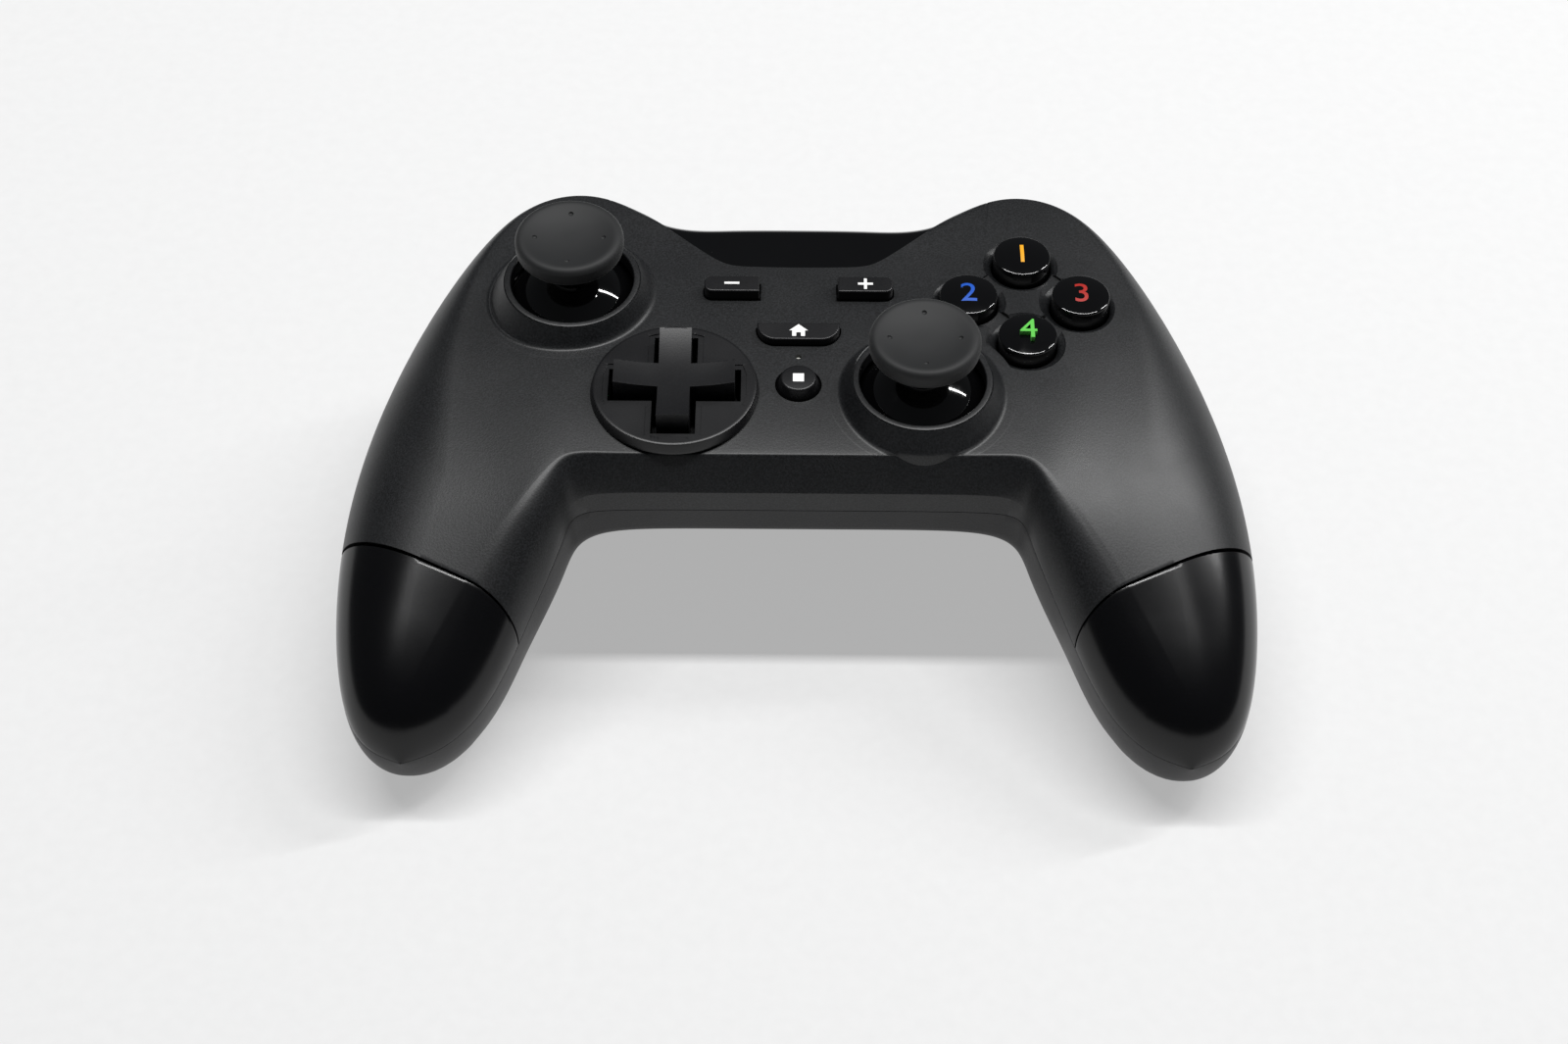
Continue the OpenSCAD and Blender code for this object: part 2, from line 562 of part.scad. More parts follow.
module right_stick_rocker() color("#d8d8d2") at_right() stick_rocker();
module left_stick_yoke() color("#e6e2d4") at_left() stick_yoke();
module right_stick_yoke() color("#e6e2d4") at_right() stick_yoke();
module left_stick_base() color("#9a9ca0") at_left() stick_base();
module right_stick_base() color("#9a9ca0") at_right() stick_base();
module sensor_pair() {
    translate([base_w / 2, -4, -pivot_over_board]) cube([2.8, 8, 8]);
    translate([-4, -base_w / 2 - 2.8, -pivot_over_board]) cube([8, 2.8, 8]);
}
module stick_sensors() color("#2e6b3e") {
    at_left() sensor_pair();
    at_right() sensor_pair();
}
module click_switch() {
    translate([-base_w / 2 - 3, -2, -pivot_over_board]) cube([3, 4, 3]);
}
module stick_click_switches() color("#3a3a3c") {
    at_left() click_switch();
    at_right() click_switch();
}

// Direction pad
module cross_plan(l, w) {
    square([l, w], center = true);
    square([w, l], center = true);
}
module at_dpad() { translate([dpad_at[0], dpad_at[1], 0]) children(); }
module dpad_bezel() color("#1a1a1c") at_dpad() difference() {
    translate([0, 0, face_z]) rotate_extrude($fn = 72) polygon([[0, -2.6], [bezel_r - 1.6, -2.6],
        [bezel_r - 1.6, 0], [bezel_r, 0], [bezel_r, 0.4], [bezel_top_r + 0.15, bezel_h - 0.25],
        [bezel_top_r - 0.1, bezel_h], [0, bezel_h]]);
    translate([0, 0, face_z - 5]) linear_extrude(12)
        cross_plan(cross_l + 2 * cross_gap, cross_arm_w + 2 * cross_gap);
}
module dpad_cross() color("#161617") at_dpad() {
    dish_r = (pow(cross_l / 2, 2) + pow(cross_dish, 2)) / (2 * cross_dish);
    difference() {
        translate([0, 0, face_z - 4.4]) linear_extrude(cross_h + 4.4) cross_plan(cross_l, cross_arm_w);
        translate([0, 0, face_z + cross_h - cross_dish + dish_r]) sphere(r = dish_r, $fn = 96);
    }
    translate([0, 0, face_z - 5.2]) cylinder(r = 10.6, h = 1);
    for (s = [-1, 1]) difference() {
        translate([s * 5 - 1, -2.5, spider_z - 2.2]) cube([2, 5, 4.6]);
        translate([s * 5 - 2, 0, spider_z]) rotate([0, 90, 0]) cylinder(r = 1 + run_gap, h = 4);
    }
}
module dpad_spider() color("#d8d8d2") at_dpad() translate([0, 0, spider_z]) {
    rotate([0, 90, 0]) cylinder(r = 1, h = 11.6, center = true);
    rotate([90, 0, 0]) cylinder(r = 1, h = 11.6, center = true);
    translate([-1.6, -1.6, -1.6]) cube(3.2);
}
module dpad_support() color("#26272a") at_dpad() {
    translate([-4, -6.5, board_z]) cube([8, 13, 1.5]);
    for (s = [-1, 1]) difference() {
        translate([-2.5, s * 5 - 1, board_z]) cube([5, 2, spider_z - board_z + 1.5]);
        translate([0, s * 5 + 2, spider_z]) rotate([90, 0, 0]) cylinder(r = 1 + run_gap, h = 4);
    }
}
module dpad_membrane() color("#8f9296") at_dpad() {
    difference() {
        translate([0, 0, board_z]) cylinder(r = 11.2, h = 1);
        translate([-4.2, -6.7, board_z - 1]) cube([8.4, 13.4, 4]);
    }
    for (a = [0 : 90 : 270]) rotate(a) translate([9, 0, board_z])
        cylinder(r1 = 2, r2 = 1.6, h = face_z - 6.7 - board_z);
}

// Face buttons
module face_button(i) {
    top = face_edge_h + face_dome_h;
    r = face_button_r;
    ball = (pow(r - 0.6, 2) + pow(face_dome_h - 0.35, 2)) / (2 * (face_dome_h - 0.35));
    cap_a = asin((r - 0.6) / ball);
    at_face(i) translate([0, 0, face_z]) rotate_extrude($fn = 64) polygon(concat(
        [[0, -8.4], [3.2, -8.4], [3.2, -4.4], [r + 0.9, -4.4], [r + 0.9, -3.6],
            [r, -3.6], [r, face_edge_h - 0.25], [r - 0.25, face_edge_h + 0.15]],
        [for (k = [8 : -1 : 1]) let (a = cap_a * k / 8) [ball * sin(a), top - ball + ball * cos(a)]],
        [[0, top]]));
}
module face_button_top() color("#0d0d0e") face_button(0);
module face_button_left() color("#0d0d0e") face_button(1);
module face_button_right() color("#0d0d0e") face_button(2);
module face_button_bottom() color("#0d0d0e") face_button(3);
module face_membrane() color("#8f9296") translate([face_mid[0], face_mid[1], board_z]) {
    cylinder(r = 12.6, h = 1);
    for (p = face_places) translate([p[0], p[1], 0])
        cylinder(r1 = 3, r2 = 2.4, h = face_z - 8.4 - face_travel - 0.3 - board_z);
}

// Centre buttons
centre_foot = face_z - 11;
module sign_button() {
    translate([0, 0, face_z - 3.4]) linear_extrude(sign_h + 3.4) sign_plan(0);
    translate([0, 0, face_z - 3.4]) linear_extrude(1) sign_plan(0.7);
    translate([0, 0, centre_foot]) cylinder(r = 1.5, h = face_z - 3 - centre_foot);
}
module plus_button() color("#121213") translate([sign_at, sign_y, 0]) sign_button();
module minus_button() color("#121213") mirror([1, 0, 0]) translate([sign_at, sign_y, 0]) sign_button();
module home_button() color("#121213") translate([0, home_y, 0]) {
    translate([0, 0, face_z - 3.4]) linear_extrude(home_h + 3.4) home_plan(0);
    translate([0, 0, face_z - 3.4]) linear_extrude(1) home_plan(0.7);
    translate([0, 0, centre_foot]) cylinder(r = 1.5, h = face_z - 3 - centre_foot);
}
module capture_button() color("#121213") translate([0, capture_y, 0]) {
    rotate_extrude($fn = 48) polygon([[0, centre_foot], [1.5, centre_foot], [1.5, face_z - 3.4],
        [capture_r + 0.7, face_z - 3.4], [capture_r + 0.7, face_z - 2.4], [capture_r, face_z - 2.4],
        [capture_r, face_z], [capture_top_r, face_z + capture_h - 0.2],
        [capture_top_r - 0.2, face_z + capture_h], [0, face_z + capture_h]]);
}
module centre_membrane() color("#8f9296") {
    w = near_x * wx - max(base_w / 2 + 3.55, 11.3);
    l = sign_at + 6.4;
    difference() {
        translate([0, 0, board_z]) linear_extrude(1) polygon([[-w, -2.5], [w, -2.5], [w, 19], [l, 19],
            [l, 28.4], [-l, 28.4], [-l, 19], [-w, 19]]);
        translate([0, light_y, board_z - 1]) cylinder(r = 1.7, h = 3);
    }
    for (p = [[-sign_at, sign_y], [sign_at, sign_y], [0, home_y], [0, capture_y]])
        translate([p[0], p[1], board_z])
            cylinder(r1 = 2.4, r2 = 1.8, h = centre_foot - centre_travel - 0.3 - board_z);
}

// Shoulder pieces, right hand; the left ones are mirrored
bumper_z = bay_top - 0.5 - bumper_h;
bumper_hinge = rim_at(2.5, -2.2);
module bumper() {
    ts = [for (i = [0 : 14]) 2.24 + (4.14 - 2.24) * i / 14];
    difference() {
        translate([0, 0, bumper_z]) linear_extrude(bumper_h) polygon(concat(
            [for (i = [0 : 14]) rim_at(ts[i], bumper_proud - bumper_tuck * pow(abs(i / 7 - 1), 3))],
            [for (i = [14 : -1 : 0]) rim_at(ts[i], -bumper_deep)]));
        translate([bumper_hinge[0], bumper_hinge[1], bumper_z - 1])
            cylinder(r = 1.2 + run_gap, h = bumper_h + 2);
    }
}
module right_bumper() color("#18181a") bumper();
module left_bumper() color("#18181a") mirror([1, 0, 0]) bumper();

// Side view of the trigger, outer line from the top round to the lip
trigger_side = [[44.4, 4.9], [47.5, 5.3], [51, 4.3], [54, 0.3], [56.1, -5.5], [56.4, -11], [54.6, -16.4]];
// Plan of the trigger, from the middle of the body to the outside
trigger_plan = [for (p = [[26.9, 51.4], [30, 54.2], [35, 56.3], [41, 55.8], [47.4, 52.4], [51.4, 47.9],
    [52.8, 44.4]]) [p[0] * wx, p[1]]];
function trigger_line(g, d) = [for (i = [0 : 18]) let (t = i / 3,
    v = unit(curve(g, min(t + 0.05, 6)) - curve(g, max(t - 0.05, 0)))) curve(g, t) + d * [-v[1], v[0]]];
module side_region(d, y0) {
    polygon(concat(trigger_line(trigger_side, d), d == 0 ? [[52, -16.5], [46.4, -4], [44.4, 1]]
        : [[52, -24], [y0, -24], [y0, 5 + d]]));
}
module trigger_form(d, y0) {
    intersection() {
        translate([10, 0, trigger_z]) rotate([90, 0, 90]) linear_extrude(60 * wx) side_region(d, y0);
        translate([0, 0, trigger_z - 30]) linear_extrude(50) polygon(concat(trigger_line(trigger_plan, d),
            [[52.8 * wx + d, y0], [26.9 * wx - d, y0]]));
    }
}
lug_x = [30 * wx, 41 * wx];
module trigger() {
    difference() {
        union() {
            difference() {
                trigger_form(0, 40);
                trigger_form(-trigger_t, 38);
            }
            for (x = lug_x) translate([x, trigger_y, trigger_z]) {
                rotate([0, 90, 0]) cylinder(r = 2.3, h = 3);
                translate([0, -1, 0]) cube([3, 3.3, 4]);
            }
        }
        translate([20, trigger_y, trigger_z]) rotate([0, 90, 0]) cylinder(r = pin_r + 0.06, h = 40);
    }
}
module right_trigger() color("#18181a") trigger();
module left_trigger() color("#18181a") mirror([1, 0, 0]) trigger();
module trigger_pin() {
    translate([lug_x[0] - 0.6, trigger_y, trigger_z]) rotate([0, 90, 0])
        cylinder(r = pin_r, h = lug_x[1] - lug_x[0] + 4.2);
}
module right_trigger_pin() color("#b9bcc0") trigger_pin();
module left_trigger_pin() color("#b9bcc0") mirror([1, 0, 0]) trigger_pin();
ear_x = [lug_x[0] + 3.3, lug_x[1] - 2.3];
module trigger_spring() {
    translate([ear_x[0] + 2.2, trigger_y, trigger_z]) rotate([0, 90, 0]) difference() {
        cylinder(r = 1.9, h = ear_x[1] - ear_x[0] - 2.4);
        translate([0, 0, -1]) cylinder(r = pin_r + 0.05, h = 10);
    }
}
module right_trigger_spring() color("#c9ccd0") trigger_spring();
module left_trigger_spring() color("#c9ccd0") mirror([1, 0, 0]) trigger_spring();
module shoulder_bracket() {
    translate([0, 0, 5.2]) linear_extrude(bay_top - 6.2) scale([wx, 1]) polygon([[26.2, 42.9], [24.7, 42.9],
        [24.7, 40.7], [39.6, 41.1], [46.2, 36.3], [50.4, 39.6], [49.5, 40.8], [46.1, 38.1], [40.05, 42.6],
        [26.2, 42.2]]);
    for (x = ear_x) difference() {
        union() {
            translate([x, 41.8, trigger_z - 2]) cube([2, trigger_y - 41.8, 4]);
            translate([x, trigger_y, trigger_z]) rotate([0, 90, 0]) cylinder(r = 2, h = 2);
        }
        translate([x - 1, trigger_y, trigger_z]) rotate([0, 90, 0]) cylinder(r = pin_r + 0.02, h = 4);
    }
    translate([26.6 * wx, 41.6, bumper_z - 1.3]) cube([5.6, bumper_hinge[1] + 1.6 - 41.6, 1]);
    translate([bumper_hinge[0], bumper_hinge[1], bumper_z - 1]) cylinder(r = 1.2, h = bumper_h + 1);
}
module right_shoulder_bracket() color("#232427") shoulder_bracket();
module left_shoulder_bracket() color("#232427") mirror([1, 0, 0]) shoulder_bracket();
module bumper_switches() color("#3a3a3c") both() translate([40.5 * wx, 42.4, bumper_z + 1])
    rotate(-bay_turn) translate([0.6, 0, 0]) cube([5, 1.6, 4.5]);
module trigger_switches() color("#3a3a3c") both() translate([34.8 * wx, 42.62, 12]) cube([4.4, 2, 5]);

// Board and what stands on it
socket_w = 9;
socket_h = 3.2;
module main_board() color("#1f5a38") difference() {
    translate([0, 0, board_under]) linear_extrude(board_t) scale([wx, 1]) polygon([[-26.5, -11.2],
        [26.5, -11.2], [32, -3.5], [52, 4], [55, 12], [54, 26], [46.6, 34.4], [38, 36.4], [25, 36.4],
        [21, 41], [-21, 41], [-25, 36.4], [-38, 36.4],
        [-46.6, 34.4], [-54, 26], [-55, 12], [-52, 4], [-32, -3.5]]);
    both() for (p = board_posts) translate([p[0], p[1], board_under - 1]) cylinder(r = 1, h = 4);
}
module main_chip() color("#17181a") translate([-4.5, 2, board_under - 1]) cube([9, 9, 1]);
module status_lamp() color("#f2f2ea") translate([-0.8, light_y - 0.8, board_z]) cube([1.6, 1.6, 1]);
module charging_socket() color("#b4b7bb") difference() {
    translate([-socket_w / 2, 38.2, board_z]) cube([socket_w, 7.3, socket_h]);
    translate([-socket_w / 2 + 0.3, 40.2, board_z + 0.3]) cube([socket_w - 0.6, 8, socket_h - 0.6]);
}
battery_y = 23;
battery_z = 13;
module battery() color("#3d4f6b") translate([-battery_len / 2, battery_y - battery_d / 2, battery_z])
    cube([battery_len, battery_d, battery_t]);
module battery_leads() color("#a02020") for (y = [12, 15]) {
    translate([battery_len / 2, y, battery_z + battery_t / 2]) rotate([0, 90, 0])
        cylinder(r = 0.6, h = 2, $fn = 20);
    translate([battery_len / 2 + 2, y, battery_z + battery_t / 2]) sphere(r = 0.6, $fn = 20);
    translate([battery_len / 2 + 2, y, battery_z + battery_t / 2])
        cylinder(r = 0.6, h = board_under - battery_z - battery_t / 2, $fn = 20);
}
motor_x = 50 * wx;
motor_y = -27.5;
motor_z = 15.5;
module rumble_motor() translate([motor_x, motor_y, motor_z]) rotate([0, 90, 0]) difference() {
    cylinder(r = motor_r, h = motor_len);
    translate([0, 0, motor_len - 2]) cylinder(r = 1 + run_gap, h = 4);
}
module right_rumble_motor() color("#8d9196") rumble_motor();
module left_rumble_motor() color("#8d9196") mirror([1, 0, 0]) rumble_motor();
module rumble_weight() translate([motor_x + motor_len, motor_y, motor_z]) rotate([0, 90, 0]) {
    translate([0, 0, -1.8]) cylinder(r = 1, h = 7.6);
    translate([0, 0, 0.8]) difference() {
        cylinder(r = weight_r, h = 4.6);
        translate([-21.8, -weight_r - 1, -1]) cube([20, 2 * weight_r + 2, 8]);
    }
}
module right_rumble_weight() color("#6d6f73") rumble_weight();
module left_rumble_weight() color("#6d6f73") mirror([1, 0, 0]) rumble_weight();
module lead(a, b) {
    v = b - a;
    translate(a) rotate([0, acos(v[2] / norm(v)), atan2(v[1], v[0])])
        translate([0, 0, -0.4]) cylinder(r = 0.8, h = norm(v) + 0.8, $fn = 20);
}
module motor_leads() color("#c8b020") both() {
    lead([motor_x + 1.2, motor_y, motor_z + motor_r + 1], [48 * wx, -22, 22.4]);
    lead([48 * wx, -22, 22.4], [42 * wx, -8, 23.4]);
    lead([42 * wx, -8, 23.4], [40 * wx, 1, board_under - 1]);
}
module screw(at, z0, z1) translate([at[0], at[1], z0]) {
    translate([0, 0, -1.6]) cylinder(r = screw_head_r, h = 1.6);
    cylinder(r = screw_r, h = z1 - z0);
}
module case_screws() color("#74777b") both() {
    screw(front_boss, front_seat, screw_top + 5.5);
    screw(side_boss, side_seat, screw_top + 5.5);
    screw(grip_boss, grip_seat, grip_screw_top + 5.5);
}
module board_screws() color("#b9bcc0") both() for (p = board_posts) translate([p[0], p[1], board_z]) {
    cylinder(r = 1.9, h = 1.2);
    translate([0, 0, -board_t - 2.4]) cylinder(r = 0.8, h = board_t + 3);
}

top_shell();
bottom_shell();
left_grip_cap();
right_grip_cap();
bridge_panel();
dpad_bezel();
status_light_pipe();
left_stick_cap();
right_stick_cap();
left_stick_dome();
right_stick_dome();
left_stick_rocker();
right_stick_rocker();
left_stick_yoke();
right_stick_yoke();
left_stick_base();
right_stick_base();
stick_sensors();
stick_click_switches();
dpad_cross();
dpad_spider();
dpad_support();
dpad_membrane();
face_button_top();
face_button_left();
face_button_right();
face_button_bottom();
face_membrane();
minus_button();
plus_button();
home_button();
capture_button();
centre_membrane();
left_bumper();
right_bumper();
left_trigger();
right_trigger();
left_trigger_pin();
right_trigger_pin();
left_trigger_spring();
right_trigger_spring();
left_shoulder_bracket();
right_shoulder_bracket();
bumper_switches();
trigger_switches();
main_board();
main_chip();
status_lamp();
charging_socket();
battery();
battery_leads();
left_rumble_motor();
right_rumble_motor();
left_rumble_weight();
right_rumble_weight();
motor_leads();
case_screws();
board_screws();
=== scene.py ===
"""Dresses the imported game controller: modelled shells, buttons and sticks with moulded finishes.

Lengths in the functions are millimetres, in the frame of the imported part, unless a name says
otherwise. Finished meshes are in metres.
"""

import json
import math
from functools import lru_cache

import bpy
from bpy.props import FloatProperty, FloatVectorProperty, PointerProperty
from mathutils import Matrix, Vector
from mathutils.bvhtree import BVHTree


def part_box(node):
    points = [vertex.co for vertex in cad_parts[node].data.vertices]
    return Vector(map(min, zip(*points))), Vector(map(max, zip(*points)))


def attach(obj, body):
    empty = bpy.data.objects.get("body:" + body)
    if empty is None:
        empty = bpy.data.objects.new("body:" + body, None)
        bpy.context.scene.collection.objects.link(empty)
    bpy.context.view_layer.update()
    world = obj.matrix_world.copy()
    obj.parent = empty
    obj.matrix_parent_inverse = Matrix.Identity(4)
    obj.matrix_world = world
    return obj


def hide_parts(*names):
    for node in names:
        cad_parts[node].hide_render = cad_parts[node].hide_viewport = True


bl_info = {
    "name": "Game controller looks",
    "version": (1, 0, 0),
    "blender": (4, 5, 0),
    "location": "View3D > Sidebar > Controller",
    "description": "Models the shells, buttons and sticks of the packed game controller",
    "category": "Object",
}

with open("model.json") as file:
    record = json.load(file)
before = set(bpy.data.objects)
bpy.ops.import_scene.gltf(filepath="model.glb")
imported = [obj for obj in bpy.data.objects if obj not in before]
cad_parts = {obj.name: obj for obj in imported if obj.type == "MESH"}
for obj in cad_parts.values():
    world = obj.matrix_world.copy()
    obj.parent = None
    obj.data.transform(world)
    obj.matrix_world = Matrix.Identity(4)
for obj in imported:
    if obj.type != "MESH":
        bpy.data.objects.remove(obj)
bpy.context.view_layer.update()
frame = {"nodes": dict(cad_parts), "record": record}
MM = 0.001


# Places, read from the frame

def low(node):
    """Lowest corner of a node, in millimetres."""
    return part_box(node)[0] / MM


def high(node):
    """Highest corner of a node, in millimetres."""
    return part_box(node)[1] / MM


def middle(node):
    """Middle of a node's box, in millimetres."""
    return (low(node) + high(node)) / 2


# The capture button stands this far above the flat of the face
CAPTURE_RISE = 2.3
FACE_Z = high("capture_button").z - CAPTURE_RISE
LEFT_STICK = middle("left_stick_cap").xy
RIGHT_STICK = middle("right_stick_cap").xy
PAD = middle("dpad_bezel").xy
FACE_BUTTONS = {side: middle("face_button_" + side).xy for side in ("top", "left", "right", "bottom")}


# Colours and nodes

def linear(hex_colour):
    """An sRGB hex value as linear red, green, blue and alpha."""
    parts = [int(hex_colour[i:i + 2], 16) / 255 for i in (1, 3, 5)]
    return tuple(p / 12.92 if p <= 0.04045 else ((p + 0.055) / 1.055) ** 2.4 for p in parts) + (1.0,)


def add_node(tree, kind, settings=None, inputs=None):
    """Add one node. Settings are its own fields, inputs are socket values or the sockets to link."""
    node = tree.nodes.new(kind)
    for key, value in (settings or {}).items():
        setattr(node, key, value)
    for key, value in (inputs or {}).items():
        if isinstance(value, bpy.types.NodeSocket):
            tree.links.new(value, node.inputs[key])
        else:
            node.inputs[key].default_value = value
    return node


def new_material(name, roughness, metallic=0.0, ior=1.46):
    """An empty material with its shader; returns material, tree, shader and object coordinates."""
    made = bpy.data.materials.new(name)
    made.use_nodes = True
    tree = made.node_tree
    shader = tree.nodes["Principled BSDF"]
    shader.inputs["Roughness"].default_value = roughness
    shader.inputs["Metallic"].default_value = metallic
    if metallic == 0:
        shader.inputs["IOR"].default_value = ior
    place = add_node(tree, "ShaderNodeTexCoord").outputs["Object"]
    return made, tree, shader, place


# Colour sockets of the mix node: its two inputs and its output
MIX_FIRST, MIX_SECOND, MIX_RESULT = 6, 7, 2


def noise(tree, place, size, detail, **more):
    """Value of a noise whose features are about this many millimetres wide."""
    inputs = {"Vector": place, "Scale": 1 / (size * MM), "Detail": detail, **more}
    return add_node(tree, "ShaderNodeTexNoise", None, inputs).outputs["Fac"]


def cells(tree, place, size):
    """Distance to the nearest of points strewn about this many millimetres apart."""
    inputs = {"Vector": place, "Scale": 1 / (size * MM)}
    return add_node(tree, "ShaderNodeTexVoronoi", None, inputs).outputs["Distance"]


def ranged(tree, value, start, stop, first=0.0, final=1.0):
    """A value mapped from start and stop to first and final."""
    inputs = {"Value": value, "From Min": start, "From Max": stop, "To Min": first, "To Max": final}
    return add_node(tree, "ShaderNodeMapRange", None, inputs).outputs["Result"]


def blend(tree, share, first, second):
    """A colour between two others."""
    inputs = {"Factor": share, MIX_FIRST: first, MIX_SECOND: second}
    return add_node(tree, "ShaderNodeMix", {"data_type": "RGBA"}, inputs).outputs[MIX_RESULT]


def bumped(tree, height, depth, strength):
    """Normal of a relief of this depth in millimetres."""
    inputs = {"Strength": strength, "Distance": depth * MM, "Height": height}
    return add_node(tree, "ShaderNodeBump", None, inputs).outputs["Normal"]


def wire(tree, shader, sockets):
    """Link sockets to the named inputs of a shader."""
    for key, socket in sockets.items():
        tree.links.new(socket, shader.inputs[key])


def textured_abs(name, dark, light, grain, relief, roughness, spread, ior=1.44):
    """ABS moulded in a spark eroded tool: a fine even grain that breaks the light into specks."""
    made, tree, shader, place = new_material(name, roughness, ior=ior)
    # Real grain is near 0.1 mm; it is drawn coarser so that it shows in the render
    specks = noise(tree, place, grain, detail=2.0, Roughness=0.6)
    pits = cells(tree, place, 1.3 * grain)
    cloud = noise(tree, place, 14, detail=3.0)
    height = add_node(tree, "ShaderNodeMath", {"operation": "ADD"}, {0: specks, 1: pits})
    wire(tree, shader, {
        "Base Color": blend(tree, ranged(tree, specks, 0.38, 0.68), dark, light),
        "Roughness": ranged(tree, cloud, 0.3, 0.7, roughness - spread, roughness + spread),
        "Normal": bumped(tree, height.outputs["Value"], relief, strength=0.5)})
    return made


def polished_abs(name, colour, haze, roughness, smear):
    """ABS from a polished tool: sharp reflections, with faint handling smears and a little dust."""
    made, tree, shader, place = new_material(name, roughness, ior=1.52)
    cloud = noise(tree, place, 9, detail=4.0, Distortion=1.2)
    fleck = ranged(tree, cells(tree, place, 5), 0.015, 0.04, 0.6, 0.0)
    wire(tree, shader, {
        "Base Color": blend(tree, fleck, colour, haze),
        "Roughness": ranged(tree, cloud, 0.45, 0.75, roughness, roughness + smear)})
    return made


def silicone_rubber(name, dark, light, roughness):
    """Moulded silicone rubber: no clear reflection, a soft bloom at grazing angles, pale dust."""
    made, tree, shader, place = new_material(name, roughness, ior=1.41)
    shader.inputs["Sheen Weight"].default_value = 0.08
    shader.inputs["Sheen Roughness"].default_value = 0.4
    fine = noise(tree, place, 0.3, detail=2.0)
    wire(tree, shader, {
        "Base Color": blend(tree, noise(tree, place, 5, detail=5.0), dark, light),
        "Normal": bumped(tree, fine, 0.02, strength=0.35)})
    return made


def pad_printed_ink(name, colour, edge):
    """Pad printed ink: an even matt coat with a slight mottle."""
    made, tree, shader, place = new_material(name, roughness=0.45)
    wire(tree, shader, {"Base Color": blend(tree, noise(tree, place, 0.6, detail=2.0), colour, edge)})
    return made


def plated_steel(name, dark, light, roughness):
    """Drawn and plated steel: fine lines along the draw, brighter where it is rubbed."""
    made, tree, shader, place = new_material(name, roughness, metallic=1.0)
    stretch = add_node(tree, "ShaderNodeMapping", None, {"Vector": place, "Scale": (1, 12, 1)})
    lines = noise(tree, stretch.outputs["Vector"], 2, detail=4.0)
    wire(tree, shader, {
        "Base Color": blend(tree, lines, dark, light),
        "Roughness": ranged(tree, lines, 0.0, 1.0, roughness - 0.08, roughness + 0.12)})
    return made


def plain_moulding(name, dark, light, roughness):
    """A plain inner moulding or coat, with a slow drift of tone and a light grain."""
    made, tree, shader, place = new_material(name, roughness)
    drift = noise(tree, place, 4, detail=5.0)
    wire(tree, shader, {
        "Base Color": blend(tree, drift, dark, light),
        "Normal": bumped(tree, drift, 0.03, strength=0.2)})
    return made


# Name, dark tone, light tone and roughness of the finishes inside the shells
INNER_FINISHES = {
    "light_pipe": ("acrylic_frosted", "#b9b9b2", "#d9d9d2", 0.35),
    "mechanism": ("acetal_natural_moulded", "#c9c5b5", "#dedacb", 0.42),
    "bracket": ("nylon_black_moulded", "#18191b", "#222326", 0.5),
    "board": ("glass_epoxy_solder_mask_green", "#12432a", "#1b5a39", 0.3),
    "membrane": ("silicone_grey_moulded", "#85888c", "#979a9e", 0.7),
    "chip": ("epoxy_black_moulded", "#121315", "#1c1d20", 0.55),
    "sensor": ("nylon_green_moulded", "#255c36", "#2f6d42", 0.5),
    "battery": ("polyester_wrap_blue", "#35486a", "#425778", 0.35),
    "lead": ("pvc_red_extruded", "#8c1f1c", "#a32a26", 0.4),
}


@lru_cache(maxsize=None)
def finish(slot):
    """The material of a record slot, made once."""
    colours = bpy.context.scene.controller_colours
    if slot == "top_shell":
        return textured_abs("charcoal_abs_spark_texture", colours.shell, colours.shell_speck,
                            grain=0.3, relief=0.014, roughness=0.42, spread=0.03)
    if slot == "bottom_shell":
        return textured_abs("black_abs_fine_texture", colours.under, colours.under_speck,
                            grain=0.3, relief=0.03, roughness=0.42, spread=0.03)
    if slot == "grip":
        return textured_abs("black_abs_soft_touch_coat", colours.grip, colours.grip_speck,
                            grain=0.25, relief=0.002, roughness=0.2, spread=0.02, ior=1.38)
    if slot in ("gloss_black", "button_black"):
        name = slot.replace("_black", "_abs_polished")
        return polished_abs(name, colours.gloss, colours.dust, roughness=0.05, smear=0.1)
    if slot == "pad_black":
        return textured_abs("black_abs_satin", colours.pad, colours.pad_speck,
                            grain=0.25, relief=0.008, roughness=0.36, spread=0.04)
    if slot == "shoulder_black":
        return textured_abs("black_abs_satin_shoulder", colours.pad, colours.pad_speck,
                            grain=0.25, relief=0.006, roughness=0.32, spread=0.04)
    if slot == "stick_rubber":
        return silicone_rubber("charcoal_silicone_moulded", colours.rubber, colours.rubber_bloom, 0.62)
    if slot == "steel":
        return plated_steel("steel_nickel_plated", linear("#8b8d90"), linear("#c3c5c8"), 0.3)
    if slot == "motor":
        return plated_steel("steel_can_zinc_plated", linear("#74777b"), linear("#a5a8ac"), 0.38)
    name, dark, light, roughness = INNER_FINISHES[slot]
    return plain_moulding(name, linear(dark), linear(light), roughness)


# Modelling helpers

def only(obj):
    """Make obj the one selected and active object."""
    bpy.ops.object.select_all(action="DESELECT")
    obj.select_set(True)
    bpy.context.view_layer.objects.active = obj


def apply(obj, kind, **settings):
    """Add a modifier with these settings and apply it."""
    only(obj)
    modifier = obj.modifiers.new(kind.lower(), kind)
    for key, value in settings.items():
        setattr(modifier, key, value)
    bpy.ops.object.modifier_apply(modifier=modifier.name)


def soften(obj, width, segments=2, angle=40):
    """Round the edges that are sharper than the angle."""
    apply(obj, "BEVEL", width=width * MM, segments=segments, limit_method="ANGLE",
          angle_limit=math.radians(angle), harden_normals=False)


